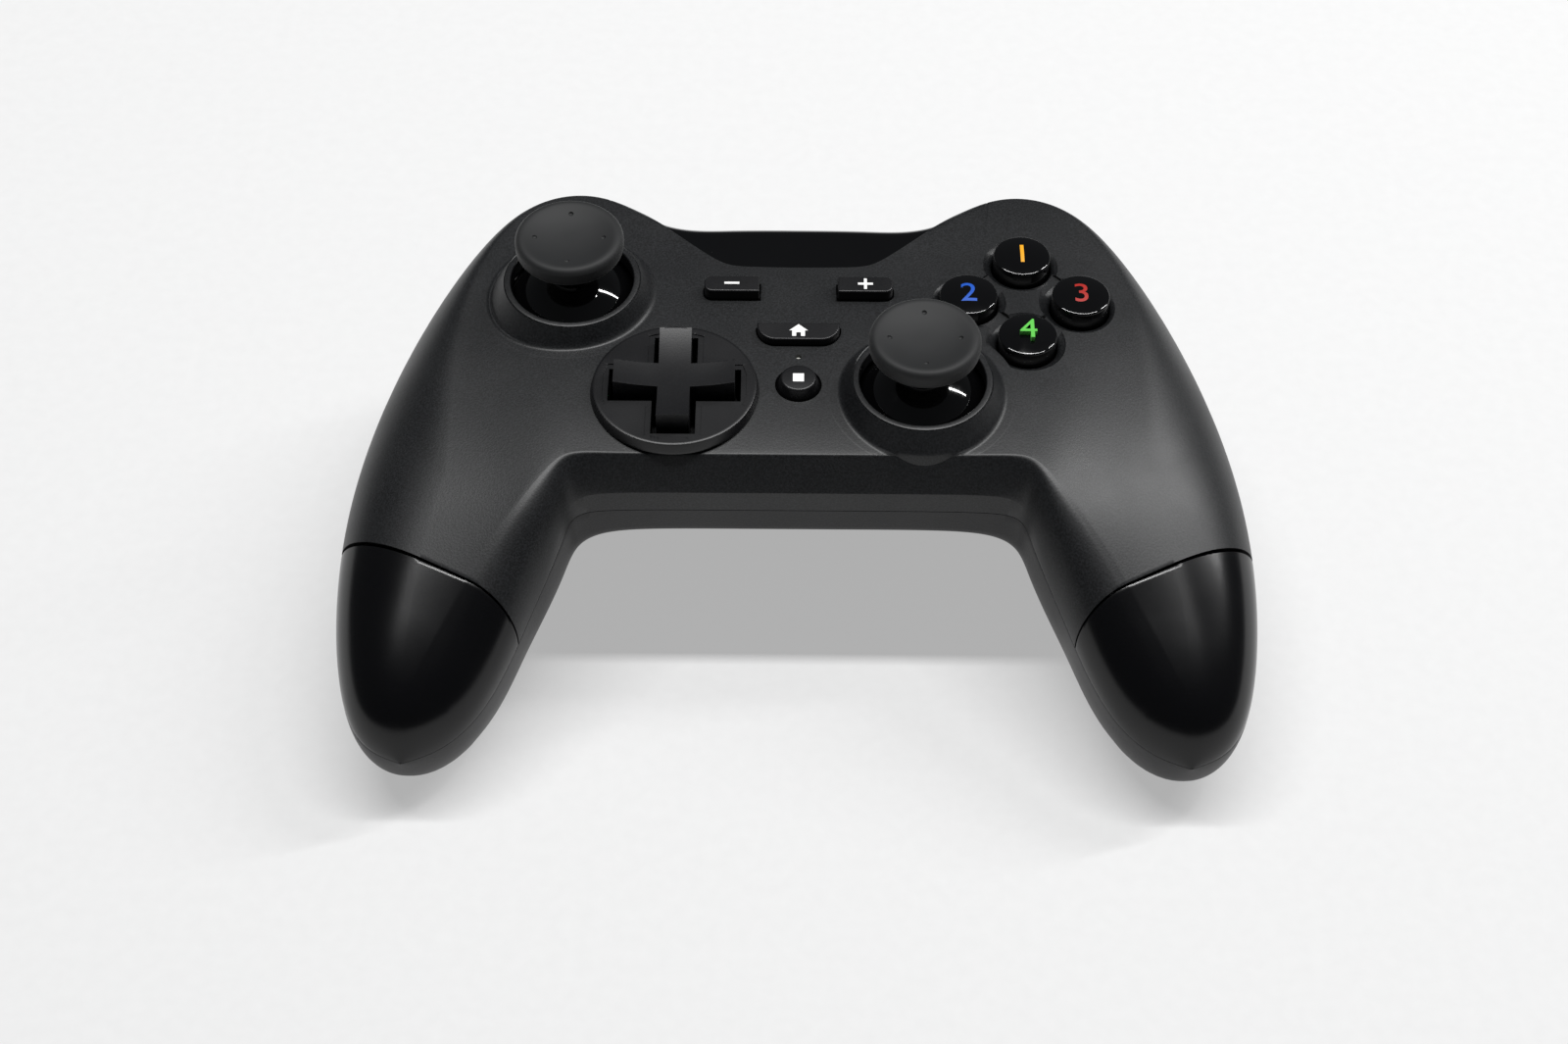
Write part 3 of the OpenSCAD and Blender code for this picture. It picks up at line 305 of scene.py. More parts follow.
def boolean(obj, tool, operation="DIFFERENCE", solver="MANIFOLD"):
    """Cut, join or cross obj with a tool mesh, which is then removed."""
    apply(obj, "BOOLEAN", object=tool, operation=operation, solver=solver)
    bpy.data.objects.remove(tool, do_unlink=True)
    if not obj.data.polygons:
        raise RuntimeError(obj.name + " has nothing left after " + operation.lower())


def join(pieces, name):
    """Join pieces into the first one."""
    only(pieces[0])
    for piece in pieces[1:]:
        piece.select_set(True)
    bpy.ops.object.join()
    pieces[0].name = name
    return pieces[0]


def laid_mesh(name, points, faces):
    """A mesh laid out point by point, for the double curved skins that no primitive gives."""
    mesh = bpy.data.meshes.new(name)
    mesh.from_pydata([Vector(p) * MM for p in points], [], faces)
    obj = bpy.data.objects.new(name, mesh)
    bpy.context.scene.collection.objects.link(obj)
    return obj


def turned(name, profile, at, steps=96):
    """A turned piece: a line of (radius, height) points spun round the upright axis at a place."""
    bpy.ops.object.select_all(action="DESELECT")
    bpy.ops.mesh.primitive_plane_add(size=MM)
    obj = bpy.context.object
    obj.name = name
    bpy.ops.object.mode_set(mode="EDIT")
    bpy.ops.mesh.merge(type="CENTER")
    points = [Vector((at[0] + r, at[1], z)) * MM for r, z in profile]
    bpy.ops.transform.translate(value=points[0])
    for here, there in zip(points, points[1:]):
        bpy.ops.mesh.extrude_region_move(TRANSFORM_OT_translate={"value": there - here})
    bpy.ops.mesh.select_all(action="SELECT")
    bpy.ops.mesh.spin(steps=steps, angle=math.tau, center=(at[0] * MM, at[1] * MM, 0), axis=(0, 0, 1))
    bpy.ops.mesh.select_all(action="SELECT")
    bpy.ops.mesh.remove_doubles(threshold=0.002 * MM)
    bpy.ops.mesh.normals_make_consistent(inside=False)
    bpy.ops.object.mode_set(mode="OBJECT")
    return obj


def drill(obj, radius, at, foot, steps=96):
    """Cut a round hole from a foot height up through the face."""
    boolean(obj, turned("tool", [(0, foot), (radius, foot), (radius, CUT_TOP), (0, CUT_TOP)], at, steps))


def slab(name, plan, z0, z1):
    """An upright slab: a flat face over a plan outline, extruded from z0 to z1."""
    obj = laid_mesh(name, [(x, y, z0) for x, y in plan], [range(len(plan))])
    only(obj)
    bpy.ops.object.mode_set(mode="EDIT")
    bpy.ops.mesh.select_all(action="SELECT")
    bpy.ops.mesh.extrude_region_move(TRANSFORM_OT_translate={"value": (0, 0, (z1 - z0) * MM)})
    bpy.ops.mesh.select_all(action="SELECT")
    bpy.ops.mesh.normals_make_consistent(inside=False)
    bpy.ops.object.mode_set(mode="OBJECT")
    return obj


def block(name, lower_corner, upper_corner):
    """A rectangular block between two corners, started from a cube."""
    size = [b - a for a, b in zip(lower_corner, upper_corner)]
    centre = [(a + b) / 2 * MM for a, b in zip(lower_corner, upper_corner)]
    bpy.ops.object.select_all(action="DESELECT")
    bpy.ops.mesh.primitive_cube_add(size=MM, location=centre, scale=size)
    obj = bpy.context.object
    obj.name = name
    bpy.ops.object.transform_apply(location=True, rotation=True, scale=True)
    return obj


def copy_node(node):
    """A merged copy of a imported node, to be finished further."""
    obj = frame["nodes"][node].copy()
    obj.data = obj.data.copy()
    obj.parent = None
    obj.name = node + "_form"
    for key in list(obj.keys()):
        del obj[key]
    bpy.context.scene.collection.objects.link(obj)
    only(obj)
    bpy.ops.object.mode_set(mode="EDIT")
    bpy.ops.mesh.select_all(action="SELECT")
    bpy.ops.mesh.remove_doubles(threshold=0.004 * MM)
    bpy.ops.mesh.dissolve_limited(angle_limit=math.radians(0.5))
    bpy.ops.object.mode_set(mode="OBJECT")
    return obj


def hand_over(obj, name, body, slot, nodes=(), material=None, angle=35):
    """Shade a finished piece, give it its finish, tie it to its body and hide the nodes it stands for."""
    obj.name = name
    obj.data.materials.clear()
    obj.data.materials.append(material or finish(slot))
    only(obj)
    bpy.ops.object.shade_smooth_by_angle(angle=math.radians(angle))
    apply(obj, "WEIGHTED_NORMAL", keep_sharp=True)
    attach(obj, body)
    if nodes:
        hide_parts(*nodes)
    return obj


# Body form: stations run from the middle of the body (0) to the tip of a handle (11)

FRONT_EDGE = [(0, -17), (12, -17), (23, -17), (32.6, -17), (37.6, -17.2), (38.9, -20.8), (41.2, -27),
              (44.3, -33.5), (47.6, -41), (52.1, -49), (58.3, -54), (64.5, -55.9)]
BACK_EDGE = [(0, 46.5), (12, 46.5), (24, 45.6), (35, 54), (51.5, 51), (64.3, 32), (72.7, 9), (76.8, -11),
             (77.5, -30), (75.1, -47), (71, -53.8), (64.5, -55.9)]
CROWN_DROP = [0, 0, 0, 0, 0.2, 1, 3.5, 7.5, 12.5, 17, 21.5, 29.5]
PART_FRONT = [10.6, 10.6, 10.6, 10.8, 11.6, 13.2, 15.8, 19.4, 23.4, 26.8, 29, 29.5]
PART_BACK = [15, 15, 14.5, 13, 12.5, 13.5, 15.6, 18.8, 22.4, 26, 28.6, 29.5]
RUN_FRONT = [3.4, 3.4, 3.4, 3.6, 4.2, 5.5, 7, 8.5, 9.5, 10, 8, 5]
RUN_BACK = [6.5, 6.5, 6.5, 3, 3, 13, 22, 21, 17, 13, 9, 5]
BAND = [0.42, 0.42, 0.42, 0.42, 0.36, 0.22, 0.1, 0.05, 0.05, 0.05, 0.05, 0.05]
EDGE_POWER = [1.02, 1.02, 1.02, 1.04, 1.2, 1.6, 1.9, 2, 2, 2, 2, 2]
FLOOR_FRONT = [25, 25, 25, 24, 19, 12, 6, 2.2, -1.4, 0.6, 5, 12.5]
FLOOR_BACK = [-0.6, -0.6, -0.6, -0.6, 0.2, 2.5, 3.5, 2.2, -1.4, 0.6, 5, 12.5]
UNDER_FRONT = [3, 3, 3, 4, 6, 9, 12, 13, 13, 12, 9, 5]
UNDER_BACK = [5, 5, 5, 6, 9, 13, 16, 16, 15, 13, 9, 5]
UNDER_BAND = [0.62, 0.62, 0.62, 0.6, 0.45, 0.25, 0.1, 0.05, 0.05, 0.05, 0.05, 0.05]
# Swell of the face between its front and back edges, and how far those edges lie below the flat face
FACE_SWELL = 7.0
FACE_DROP = 0.5
# Station where the swell has died away, and the number of stations over which it does
SWELL_END, SWELL_FADE = 6, 2.5
# Rows between which the front edge of the face is rounded
ROUND_START, ROUND_END = 1.87, 2.006
# Greatest share of a section that one rounded run takes
RUN_LIMIT = 0.48
WALL = 2.0
PART_GAP = 0.12
# Stations of the seam before the grip caps, half the seam's gap, and the last station of the skins
SEAM = 7.5
SEAM_GAP = 0.02
TIP = 10.985
PANEL_FRONT_Y = 30.8
PANEL_FRONT_HALF = 12.9
PANEL_SLOPE = 17.3 / 16.8
PANEL_CORNER = 2.2
PANEL_GAP = 0.3
PANEL_SINK = 0.45
PANEL_THICK = 1.5
BAY_LINE = [(26.03, 42.02), (40.01, 42.51), (45.95, 38.27), (59.3, 48.82), (60, 64)]
BAY_TOP = FACE_Z - 3.3
BAY_BACK = 60
# Heights of the tools that cut the face: their top, the foot of deep ones and that of shallow ones
CUT_TOP, DEEP_FOOT, SHALLOW_FOOT = 50, 30, 34
# Halvings of a search for a place on the skin
HALVINGS = 26
# Sideways place, depth place and seat height of the case screws
SCREW_SEATS = [(36, -10.5, FACE_Z - 19), (60, 12, 10), (60.5, -38.5, 8)]


def along(values, t):
    """Value of a smooth curve through a list of guide values."""
    last = len(values) - 1
    k = min(int(t), last - 1)
    u = t - k
    before = values[k - 1] if k > 0 else 2 * values[0] - values[1]
    after = values[k + 2] if k + 2 <= last else 2 * values[last] - values[last - 1]
    return ((1 - u) ** 3 * before + (3 * u ** 3 - 6 * u * u + 4) * values[k]
            + (-3 * u ** 3 + 3 * u * u + 3 * u + 1) * values[k + 1] + u ** 3 * after) / 6


def along_plan(points, t):
    """Plan point of a smooth curve through guide points."""
    return Vector((along([p[0] for p in points], t), along([p[1] for p in points], t)))


@lru_cache(maxsize=None)
def station(k):
    """Plan ends and heights of one station."""
    front = along_plan(FRONT_EDGE, k)
    reach = along_plan(BACK_EDGE, k) - front
    span = reach.length

    def share(runs):
        return min(along(runs, k), RUN_LIMIT * span) / span
    return {"front": front, "reach": reach, "crown": FACE_Z - along(CROWN_DROP, k),
            "part_front": FACE_Z - along(PART_FRONT, k), "part_back": FACE_Z - along(PART_BACK, k),
            "run_front": share(RUN_FRONT), "run_back": share(RUN_BACK),
            "band": along(BAND, k), "power": 2 / along(EDGE_POWER, k),
            "floor_front": along(FLOOR_FRONT, k), "floor_back": along(FLOOR_BACK, k),
            "under_front": share(UNDER_FRONT), "under_back": share(UNDER_BACK),
            "under_band": along(UNDER_BAND, k)}


def on_section(t, s, across, z):
    """Point of a section at a share across it, on the left or right hand."""
    plan = s["front"] + s["reach"] * across
    return Vector((plan.x if t >= 0 else -plan.x, plan.y, z))


def upper(t, q):
    """Point on the upper half: row q runs from the parting line in front (0) to that behind (4)."""
    if not ROUND_START < q < ROUND_END:
        return upper_sharp(t, q)
    share = (q - ROUND_START) / (ROUND_END - ROUND_START)
    start, corner, end = (upper_sharp(t, row) for row in (ROUND_START, 2, ROUND_END))
    return start * (1 - share) ** 2 + corner * 2 * share * (1 - share) + end * share ** 2


@lru_cache(maxsize=None)
def upper_sharp(t, q):
    """Point on the upper half before the front edge of the face is rounded."""
    s = station(abs(t))
    fade = min(max((SWELL_END - abs(t)) / SWELL_FADE, 0), 1)
    fade = fade * fade * (3 - 2 * fade)
    bottom, top = s["part_front"] + PART_GAP / 2, s["crown"] - FACE_DROP * fade
    back = s["part_back"] + PART_GAP / 2
    if q <= 1:
        return on_section(t, s, 0, bottom + (top - bottom) * s["band"] * q)
    if q <= 2:
        turn = math.pi / 2 * (q - 1)
        rise = s["band"] + (1 - s["band"]) * max(math.sin(turn), 0) ** s["power"]
        return on_section(t, s, s["run_front"] * (1 - max(math.cos(turn), 0) ** s["power"]),
                          bottom + (top - bottom) * rise)
    if q <= 3:
        swell = FACE_SWELL * fade * (q - 2) * (3 - q) ** 2
        across = s["run_front"] + (1 - s["run_front"] - s["run_back"]) * (q - 2)
        return on_section(t, s, across, top + swell)
    turn = math.pi / 2 * (q - 3)
    return on_section(t, s, 1 - s["run_back"] * (1 - math.sin(turn)), back + (top - back) * math.cos(turn))


def lower(t, q):
    """Point on the lower half: row q runs from the parting line behind (0) to that in front (4)."""
    s = station(abs(t))
    front, back = s["part_front"] - PART_GAP / 2, s["part_back"] - PART_GAP / 2
    wall_foot = front - s["under_band"] * (front - s["floor_front"])
    if q <= 1:
        turn = math.pi / 2 * q
        across = 1 - s["under_back"] * (1 - math.cos(turn))
        z = back - (back - s["floor_back"]) * math.sin(turn)
    elif q <= 2:
        across = 1 - s["under_back"] - (1 - s["under_back"] - s["under_front"]) * (q - 1)
        z = s["floor_back"] + (s["floor_front"] - s["floor_back"]) * (q - 1) ** 2
    elif q <= 3:
        turn = math.pi / 2 * (q - 2)
        across = s["under_front"] * (1 - math.sin(turn))
        z = wall_foot - (wall_foot - s["floor_front"]) * math.cos(turn)
    else:
        across, z = 0, wall_foot + (front - wall_foot) * (q - 3)
    return on_section(t, s, across, max(z, 0))


def outward(skin, t, q):
    """Unit normal of a skin."""
    ahead = skin(t + 0.03, q) - skin(t - 0.03, q)
    across = skin(t, min(q + 0.02, 4)) - skin(t, max(q - 0.02, 0))
    return ahead.cross(across).normalized()


def spaced(start, stop, step):
    """Even steps from start to stop, both included."""
    count = max(1, math.ceil(abs(stop - start) / step))
    return [start + (stop - start) * i / count for i in range(count + 1)]


def grid_faces(columns, rows):
    """Quads over a grid of columns by rows."""
    return [(i * rows + j, (i + 1) * rows + j, (i + 1) * rows + j + 1, i * rows + j + 1)
            for i in range(columns - 1) for j in range(rows - 1)]


def walled_skin(name, points, columns, rows, thickness, edge):
    """A skin with a wall inside it and slightly rounded rims."""
    obj = laid_mesh(name, points, grid_faces(columns, rows))
    apply(obj, "SOLIDIFY", thickness=thickness * MM, offset=-1.0)
    if edge:
        soften(obj, edge, 2, 60)
    return obj


def notch_y(x):
    """Depth of the panel's front edge at a sideways place, with its corner rounded."""
    past = abs(x) - PANEL_FRONT_HALF
    return PANEL_FRONT_Y + (past + math.hypot(past, PANEL_CORNER)) / 2 / PANEL_SLOPE


def notch_row(t, inset=0.0):
    """Row where a station meets the panel's edge, or 4 where the panel doesn't reach."""
    def past(q):
        p = upper(t, q)
        return p.y - notch_y(p.x) - inset
    if past(4) <= 0:
        return 4.0
    first, final = 2.0, 4.0
    for _ in range(HALVINGS):
        half = (first + final) / 2
        first, final = (first, half) if past(half) > 0 else (half, final)
    return (first + final) / 2


@lru_cache(maxsize=None)
def panel_end():
    """Station where the panel's edge leaves the back of the body."""
    first, final = 1.0, 3.5
    for _ in range(HALVINGS):
        half = (first + final) / 2
        first, final = (half, final) if notch_row(half) < 4 else (first, half)
    return first


def bays(z0, z1):
    """Cutter for both shoulder bays."""
    left = [(-x, y) for x, y in reversed(BAY_LINE)]
    inner_x = BAY_LINE[0][0]
    return slab("bay_tool", BAY_LINE + left + [(-inner_x, BAY_BACK), (inner_x, BAY_BACK)], z0, z1)


def socket_slot(z0):
    """Cutter for the slot in front of the charging socket."""
    a, b = low("charging_socket"), high("charging_socket")
    gap, inside_y, outside_y = 0.4, 38, 52
    return block("socket_tool", (a.x - gap, inside_y, z0), (b.x + gap, outside_y, b.z + gap))


# Outlines of the flat buttons

# Gap round a flat button, how far its flange reaches past it, and the heights of flange and stem
BUTTON_GAP = 0.25
FLANGE_OUT = 0.7
FLANGE_LOW, FLANGE_TOP = FACE_Z - 3.4, FACE_Z - 2.4
STEM_R, STEM_FOOT = 1.5, FACE_Z - 11
# How far a printed sign reaches under and over the top of its button
PRINT_SINK, PRINT_RISE = 0.1, 0.02


def sign_plan(gap, hand):
    """Plan of the minus and plus buttons, square towards the middle and round outside."""
    centre = middle("plus_button")
    half_l = (high("plus_button").x - low("plus_button").x) / 2 - FLANGE_OUT + gap
    half_w = (high("plus_button").y - low("plus_button").y) / 2 - FLANGE_OUT + gap
    r = 1.5 + gap
    arcs = [math.radians(a) for a in range(-90, 91, 10)]
    outer = [(half_l - r + r * math.cos(a), math.copysign(half_w - r, a) + r * math.sin(a)) for a in arcs]
    plan = [(-half_l, -half_w)] + outer + [(-half_l, half_w)]
    return [(hand * (centre.x + x), centre.y + y) for x, y in plan][::hand]


def home_plan(gap):
    """Plan of the home button, square behind and round in front."""
    centre = middle("home_button")
    half_l = (high("home_button").x - low("home_button").x) / 2 - FLANGE_OUT + gap
    depth = high("home_button").y - low("home_button").y - 2 * FLANGE_OUT
    half_w = depth / 2 + gap
    r, straight = 0.8 * depth + gap, 0.6
    arcs = [math.radians(a) for a in range(0, 91, 9)]
    right = [(half_l - r + r * math.cos(a), half_w - straight - (2 * half_w - straight) * math.sin(a))
             for a in arcs]
    left = [(-x, y) for x, y in reversed(right)]
    plan = [(half_l, half_w)] + right + left + [(-half_l, half_w)]
    return [(centre.x + x, centre.y + y) for x, y in plan]


# Sizes and colours that a user may change

class ControllerSizes(bpy.types.PropertyGroup):
    """Sizes of the finish that a user may change."""
    rim: FloatProperty(name="Shell rim round", description="Round on the rims of the shells",
                       default=0.00022, unit="LENGTH")
    button_edge: FloatProperty(name="Button edge round", description="Round on the edges of the buttons",
                               default=0.0003, unit="LENGTH")
    collar_fillet: FloatProperty(name="Collar fillet", description="Blend of a stick collar into the face",
                                 default=0.0009, unit="LENGTH")
    legend: FloatProperty(name="Legend height", description="Height of the numbers on the face buttons",
                          default=0.0045, unit="LENGTH")


class ControllerColours(bpy.types.PropertyGroup):
    """Colours of the mouldings and prints."""
    shell: FloatVectorProperty(name="Shell", description="Top shell", subtype="COLOR", size=4,
                               default=linear("#08090a"))
    shell_speck: FloatVectorProperty(name="Shell speck", description="Specks of the top shell grain",
                                     subtype="COLOR", size=4, default=linear("#1e1f21"))
    under: FloatVectorProperty(name="Underside", description="Bottom shell", subtype="COLOR", size=4,
                               default=linear("#0d0d0f"))
    under_speck: FloatVectorProperty(name="Underside speck", description="Specks of the bottom shell grain",
                                     subtype="COLOR", size=4, default=linear("#18181a"))
    grip: FloatVectorProperty(name="Grip", description="Grip caps", subtype="COLOR", size=4,
                              default=linear("#050506"))
    grip_speck: FloatVectorProperty(name="Grip speck", description="Specks of the grip caps",
                                    subtype="COLOR", size=4, default=linear("#08080a"))
    gloss: FloatVectorProperty(name="Gloss black", description="Polished pieces", subtype="COLOR", size=4,
                               default=linear("#070708"))
    dust: FloatVectorProperty(name="Dust", description="Dust on the polished pieces", subtype="COLOR",
                              size=4, default=linear("#4a4a48"))
    pad: FloatVectorProperty(name="Pad", description="Direction pad and shoulder pieces", subtype="COLOR",
                             size=4, default=linear("#0a0a0c"))
    pad_speck: FloatVectorProperty(name="Pad speck", description="Specks of the direction pad",
                                   subtype="COLOR", size=4, default=linear("#121214"))
    rubber: FloatVectorProperty(name="Rubber", description="Stick caps", subtype="COLOR", size=4,
                                default=linear("#0f1011"))
    rubber_bloom: FloatVectorProperty(name="Rubber bloom", description="Pale bloom on the stick caps",
                                      subtype="COLOR", size=4, default=linear("#171819"))
    sign: FloatVectorProperty(name="Sign print", description="Signs on the centre buttons", subtype="COLOR",
                              size=4, default=linear("#f2f2f0"))
    legend_top: FloatVectorProperty(name="Top number", description="Number on the top button",
                                    subtype="COLOR", size=4, default=linear("#e6a118"))
    legend_left: FloatVectorProperty(name="Left number", description="Number on the left button",
                                     subtype="COLOR", size=4, default=linear("#1450b4"))
    legend_right: FloatVectorProperty(name="Right number", description="Number on the right button",
                                      subtype="COLOR", size=4, default=linear("#a3211a"))
    legend_bottom: FloatVectorProperty(name="Bottom number", description="Number on the bottom button",
                                       subtype="COLOR", size=4, default=linear("#5bbf4a"))
    floor: FloatVectorProperty(name="Floor", description="Studio floor", subtype="COLOR", size=4,
                               default=linear("#a2a2a2"))


# Operators, one for each piece or group of like pieces

class CONTROLLER_OT_top_shell(bpy.types.Operator):
    """Top shell with its collars, holes and panel notch"""
    bl_idname = "controller.top_shell"
    bl_label = "Top shell"

    def skin(self):
        """Points of the outer skin, with its rows drawn up to the panel's edge."""
        inner = spaced(0, panel_end(), 0.04)
        half = inner + spaced(panel_end(), SEAM - SEAM_GAP, 0.05)[1:]
        columns = [-t for t in reversed(half[1:])] + half
        rows = ([0, 0.5, 1] + spaced(1, ROUND_START, 1 / 14)[1:] + spaced(ROUND_START, ROUND_END, 0.028)[1:]
                + spaced(ROUND_END, 3, 1 / 26)[1:] + spaced(3, 4, 1 / 18)[1:])
        points = []
        for t in columns:
            shrink = (notch_row(t) - ROUND_END) / (4 - ROUND_END)
            drawn = [q if q <= ROUND_END else ROUND_END + (q - ROUND_END) * shrink for q in rows]
            points += [upper(t, q) for q in drawn]
        return points, len(columns), len(rows)

    def collar(self, at, skin_tree, fillet):
        """Collar round a stick: a turned cone whose foot blends into the shell under it."""
        open_r, rim_r, base_r, rise = 10.65, 11.75, 14.1, 3.7
        foot_r = base_r + 2.2
        # Width over which the cone dies away, clearance over the skin, and the tuck of its last edge
        fade, clear, tuck, tuck_run = 0.9, 0.012, 0.03, 0.4
        # Upward share of the normal under which the skin is steep, and the sink there for each mm out
        steep, steep_sink = 0.85, 1.5
        slope = rise / (base_r - rim_r)
        inside = [(12.6, FACE_Z - 1.9), (11.9, FACE_Z - 0.6), (11.2, FACE_Z + 0.5), (open_r, FACE_Z + 1.1),
                  (open_r, FACE_Z + rise - 0.15), (open_r + 0.15, FACE_Z + rise)]
        rim = [(rim_r - 0.35, FACE_Z + rise), (rim_r - 0.12, FACE_Z + rise - 0.08),
               (rim_r, FACE_Z + rise - 0.3)]
        outside = [(r, FACE_Z + (base_r - r) * slope) for r in spaced(rim_r + 0.15, foot_r, 0.12)]
        obj = turned("collar", inside + rim + outside, at, 144)
        for v in obj.data.vertices:
            p = v.co / MM
            r = (p.xy - at).length
            if r > rim_r + 0.1:
                above = Vector((p.x, p.y, FACE_Z + 20))
                hit, facing = skin_tree.ray_cast(above, Vector((0, 0, -1)))[:2]
                near = max(fillet - abs(p.z - hit.z), 0) / fillet
                proud = max(p.z - hit.z, 0) * max(1 - max(r - base_r, 0) / fade, 0) ** 2
                z = hit.z + proud + near * near * fillet / 4
                # Over the front slope of the body the foot runs in under the skin
                sunk = steep_sink * max(r - base_r - 0.1, 0) if abs(facing.z) < steep else 0
                v.co.z = (z - sunk + clear - tuck * max(0, r - foot_r + tuck_run) / tuck_run) * MM
        return obj

    def execute(self, context):
        sizes = context.scene.controller_sizes
        stick_hole, pad_hole, capture_hole, light_hole = 13.0, 12.8, 3.95, 0.5
        points, columns, rows = self.skin()
        tree = BVHTree.FromPolygons(points, grid_faces(columns, rows))
        shell = walled_skin("top_shell_form", points, columns, rows, WALL, sizes.rim / MM)
        boolean(shell, bays(10, BAY_TOP))
        for at in (LEFT_STICK, RIGHT_STICK):
            drill(shell, stick_hole, at, DEEP_FOOT)
        drill(shell, pad_hole, PAD, DEEP_FOOT)
        self.cut_button_wells(shell)
        for plan in (sign_plan(BUTTON_GAP, 1), sign_plan(BUTTON_GAP, -1), home_plan(BUTTON_GAP)):
            boolean(shell, slab("tool", plan, SHALLOW_FOOT, CUT_TOP))
        drill(shell, capture_hole, middle("capture_button").xy, SHALLOW_FOOT)
        drill(shell, light_hole, middle("status_light_pipe").xy, SHALLOW_FOOT, 32)
        collars = [self.collar(at, tree, sizes.collar_fillet / MM) for at in (LEFT_STICK, RIGHT_STICK)]
        join([shell] + collars, "top_shell_form")
        hand_over(shell, "top_shell_form", "chassis", "top_shell", ["top_shell"], angle=32)
        return {"FINISHED"}

    def cut_button_wells(self, shell):
        """Round holes with a soft lip, and the shallow webs from hole to hole."""
        drop = {"top": 0.7, "left": 0.2, "right": 1.2, "bottom": 0.6}
        hole_r, flare_r = 5.25, 7.2
        for side, at in FACE_BUTTONS.items():
            lip = FACE_Z - drop[side]
            profile = [(0, SHALLOW_FOOT), (hole_r, SHALLOW_FOOT), (hole_r, lip - 0.75), (5.35, lip - 0.5),
                       (5.6, lip - 0.25), (6.0, lip - 0.02), (6.5, lip + 0.3), (flare_r, lip + 1.0),
                       (flare_r, CUT_TOP), (0, CUT_TOP)]
            boolean(shell, turned("tool", profile, at))
        web_start, web_half, web_top = 3.5, 2.4, 46
        ring = [FACE_BUTTONS[s] for s in ("top", "right", "bottom", "left")]
        for a, b in zip(ring, ring[1:] + ring[:1]):
            side = (b - a).normalized()
            across = Vector((-side.y, side.x)) * web_half
            start, end = a + side * web_start, b - side * web_start
            plan = [start - across, end - across, end + across, start + across]
            # The face falls away to the right, so the webs there lie deeper
            floor = FACE_Z - (0.9 if (a.x + b.x) / 2 > FACE_BUTTONS["top"].x else 0.45)
            boolean(shell, slab("tool", [tuple(p) for p in plan], floor, web_top))


class CONTROLLER_OT_bottom_shell(bpy.types.Operator):
    """Bottom shell with its shoulder bays and screw wells"""
    bl_idname = "controller.bottom_shell"
    bl_label = "Bottom shell"

    def execute(self, context):
        columns = spaced(-TIP, TIP, 0.06)
        rows = (spaced(0, 1, 1 / 16) + spaced(1, 2, 1 / 26)[1:] + spaced(2, 3, 1 / 12)[1:]
                + spaced(3, 4, 1 / 3)[1:])
        points = [lower(t, q) for t in columns for q in rows]
        shell = walled_skin("bottom_shell_form", points, len(columns), len(rows), WALL, 0.15)
        boolean(shell, bays(5, 60))
        boolean(shell, socket_slot(low("main_board").z + 0.4))
        for x, y, seat in SCREW_SEATS:
            for hand in (-1, 1):
                self.screw_well(shell, Vector((hand * x, y)), seat)
        hand_over(shell, "bottom_shell_form", "chassis", "bottom_shell", ["bottom_shell"], angle=32)
        return {"FINISHED"}

    def screw_well(self, shell, at, seat):
        """Cut a screw well and line it with a tube whose foot starts inside the wall of the shell."""
        head, outer, shank, top, steps = 2.6, 3.4, 1.2, seat + 2, 48
        boolean(shell, turned("tool", [(0, -3), (head, -3), (head, seat), (0, seat)], at, steps))
        lining = turned("lining", [(head, 0), (outer, 0), (outer, top), (shank, top), (shank, seat),
                                   (head, seat), (head, 0)], at, steps)
        for v in lining.data.vertices:
            if v.co.z < MM:
                spot = at + (v.co.xy / MM - at).normalized() * (outer + 0.2)
                under = shell.ray_cast(Vector((spot.x, spot.y, -5)) * MM, Vector((0, 0, 1)))[1]
                v.co.z = under.z + 0.5 * WALL * MM
        join([shell, lining], "bottom_shell_form")


class CONTROLLER_OT_grip_caps(bpy.types.Operator):
    """Smooth caps over both handles, from the seam to the tip"""
    bl_idname = "controller.grip_caps"
    bl_label = "Grip caps"

    def execute(self, context):
        half = spaced(SEAM + SEAM_GAP, TIP, 0.04)
        rows = [0, 0.5, 1] + spaced(1, 2, 1 / 20)[1:] + spaced(2, 3, 1 / 20)[1:] + spaced(3, 4, 1 / 20)[1:]
        for side, columns in (("right", half), ("left", [-t for t in reversed(half)])):
            points = [upper(t, q) for t in columns for q in rows]
            cap = walled_skin(side + "_grip_cap_form", points, len(columns), len(rows), WALL, 0.12)
            hand_over(cap, side + "_grip_cap_form", "chassis", "grip", [side + "_grip_cap"], angle=45)
        return {"FINISHED"}


class CONTROLLER_OT_bridge_panel(bpy.types.Operator):
    """Gloss panel between the shoulders"""
    bl_idname = "controller.bridge_panel"
    bl_label = "Bridge panel"

    def execute(self, context):
        inset = PANEL_GAP * math.hypot(1, 1 / PANEL_SLOPE)
        half = [t for t in spaced(0, panel_end(), 0.04) if notch_row(t, inset) < 3.97]
        columns = [-t for t in reversed(half[1:])] + half
        shares = spaced(0, 1, 1 / 44)
        points = []
        for t in columns:
            start = notch_row(t, inset)
            for share in shares:
                q = start + (4 - start) * share
                points.append(upper(t, q) - outward(upper, t, q) * PANEL_SINK)
        panel = walled_skin("bridge_panel_form", points, len(columns), len(shares), PANEL_THICK, 0.15)
        boolean(panel, bays(10, BAY_TOP))
        boolean(panel, socket_slot(low("main_board").z))
        hand_over(panel, "bridge_panel_form", "chassis", "gloss_black", ["bridge_panel"], angle=40)
        return {"FINISHED"}


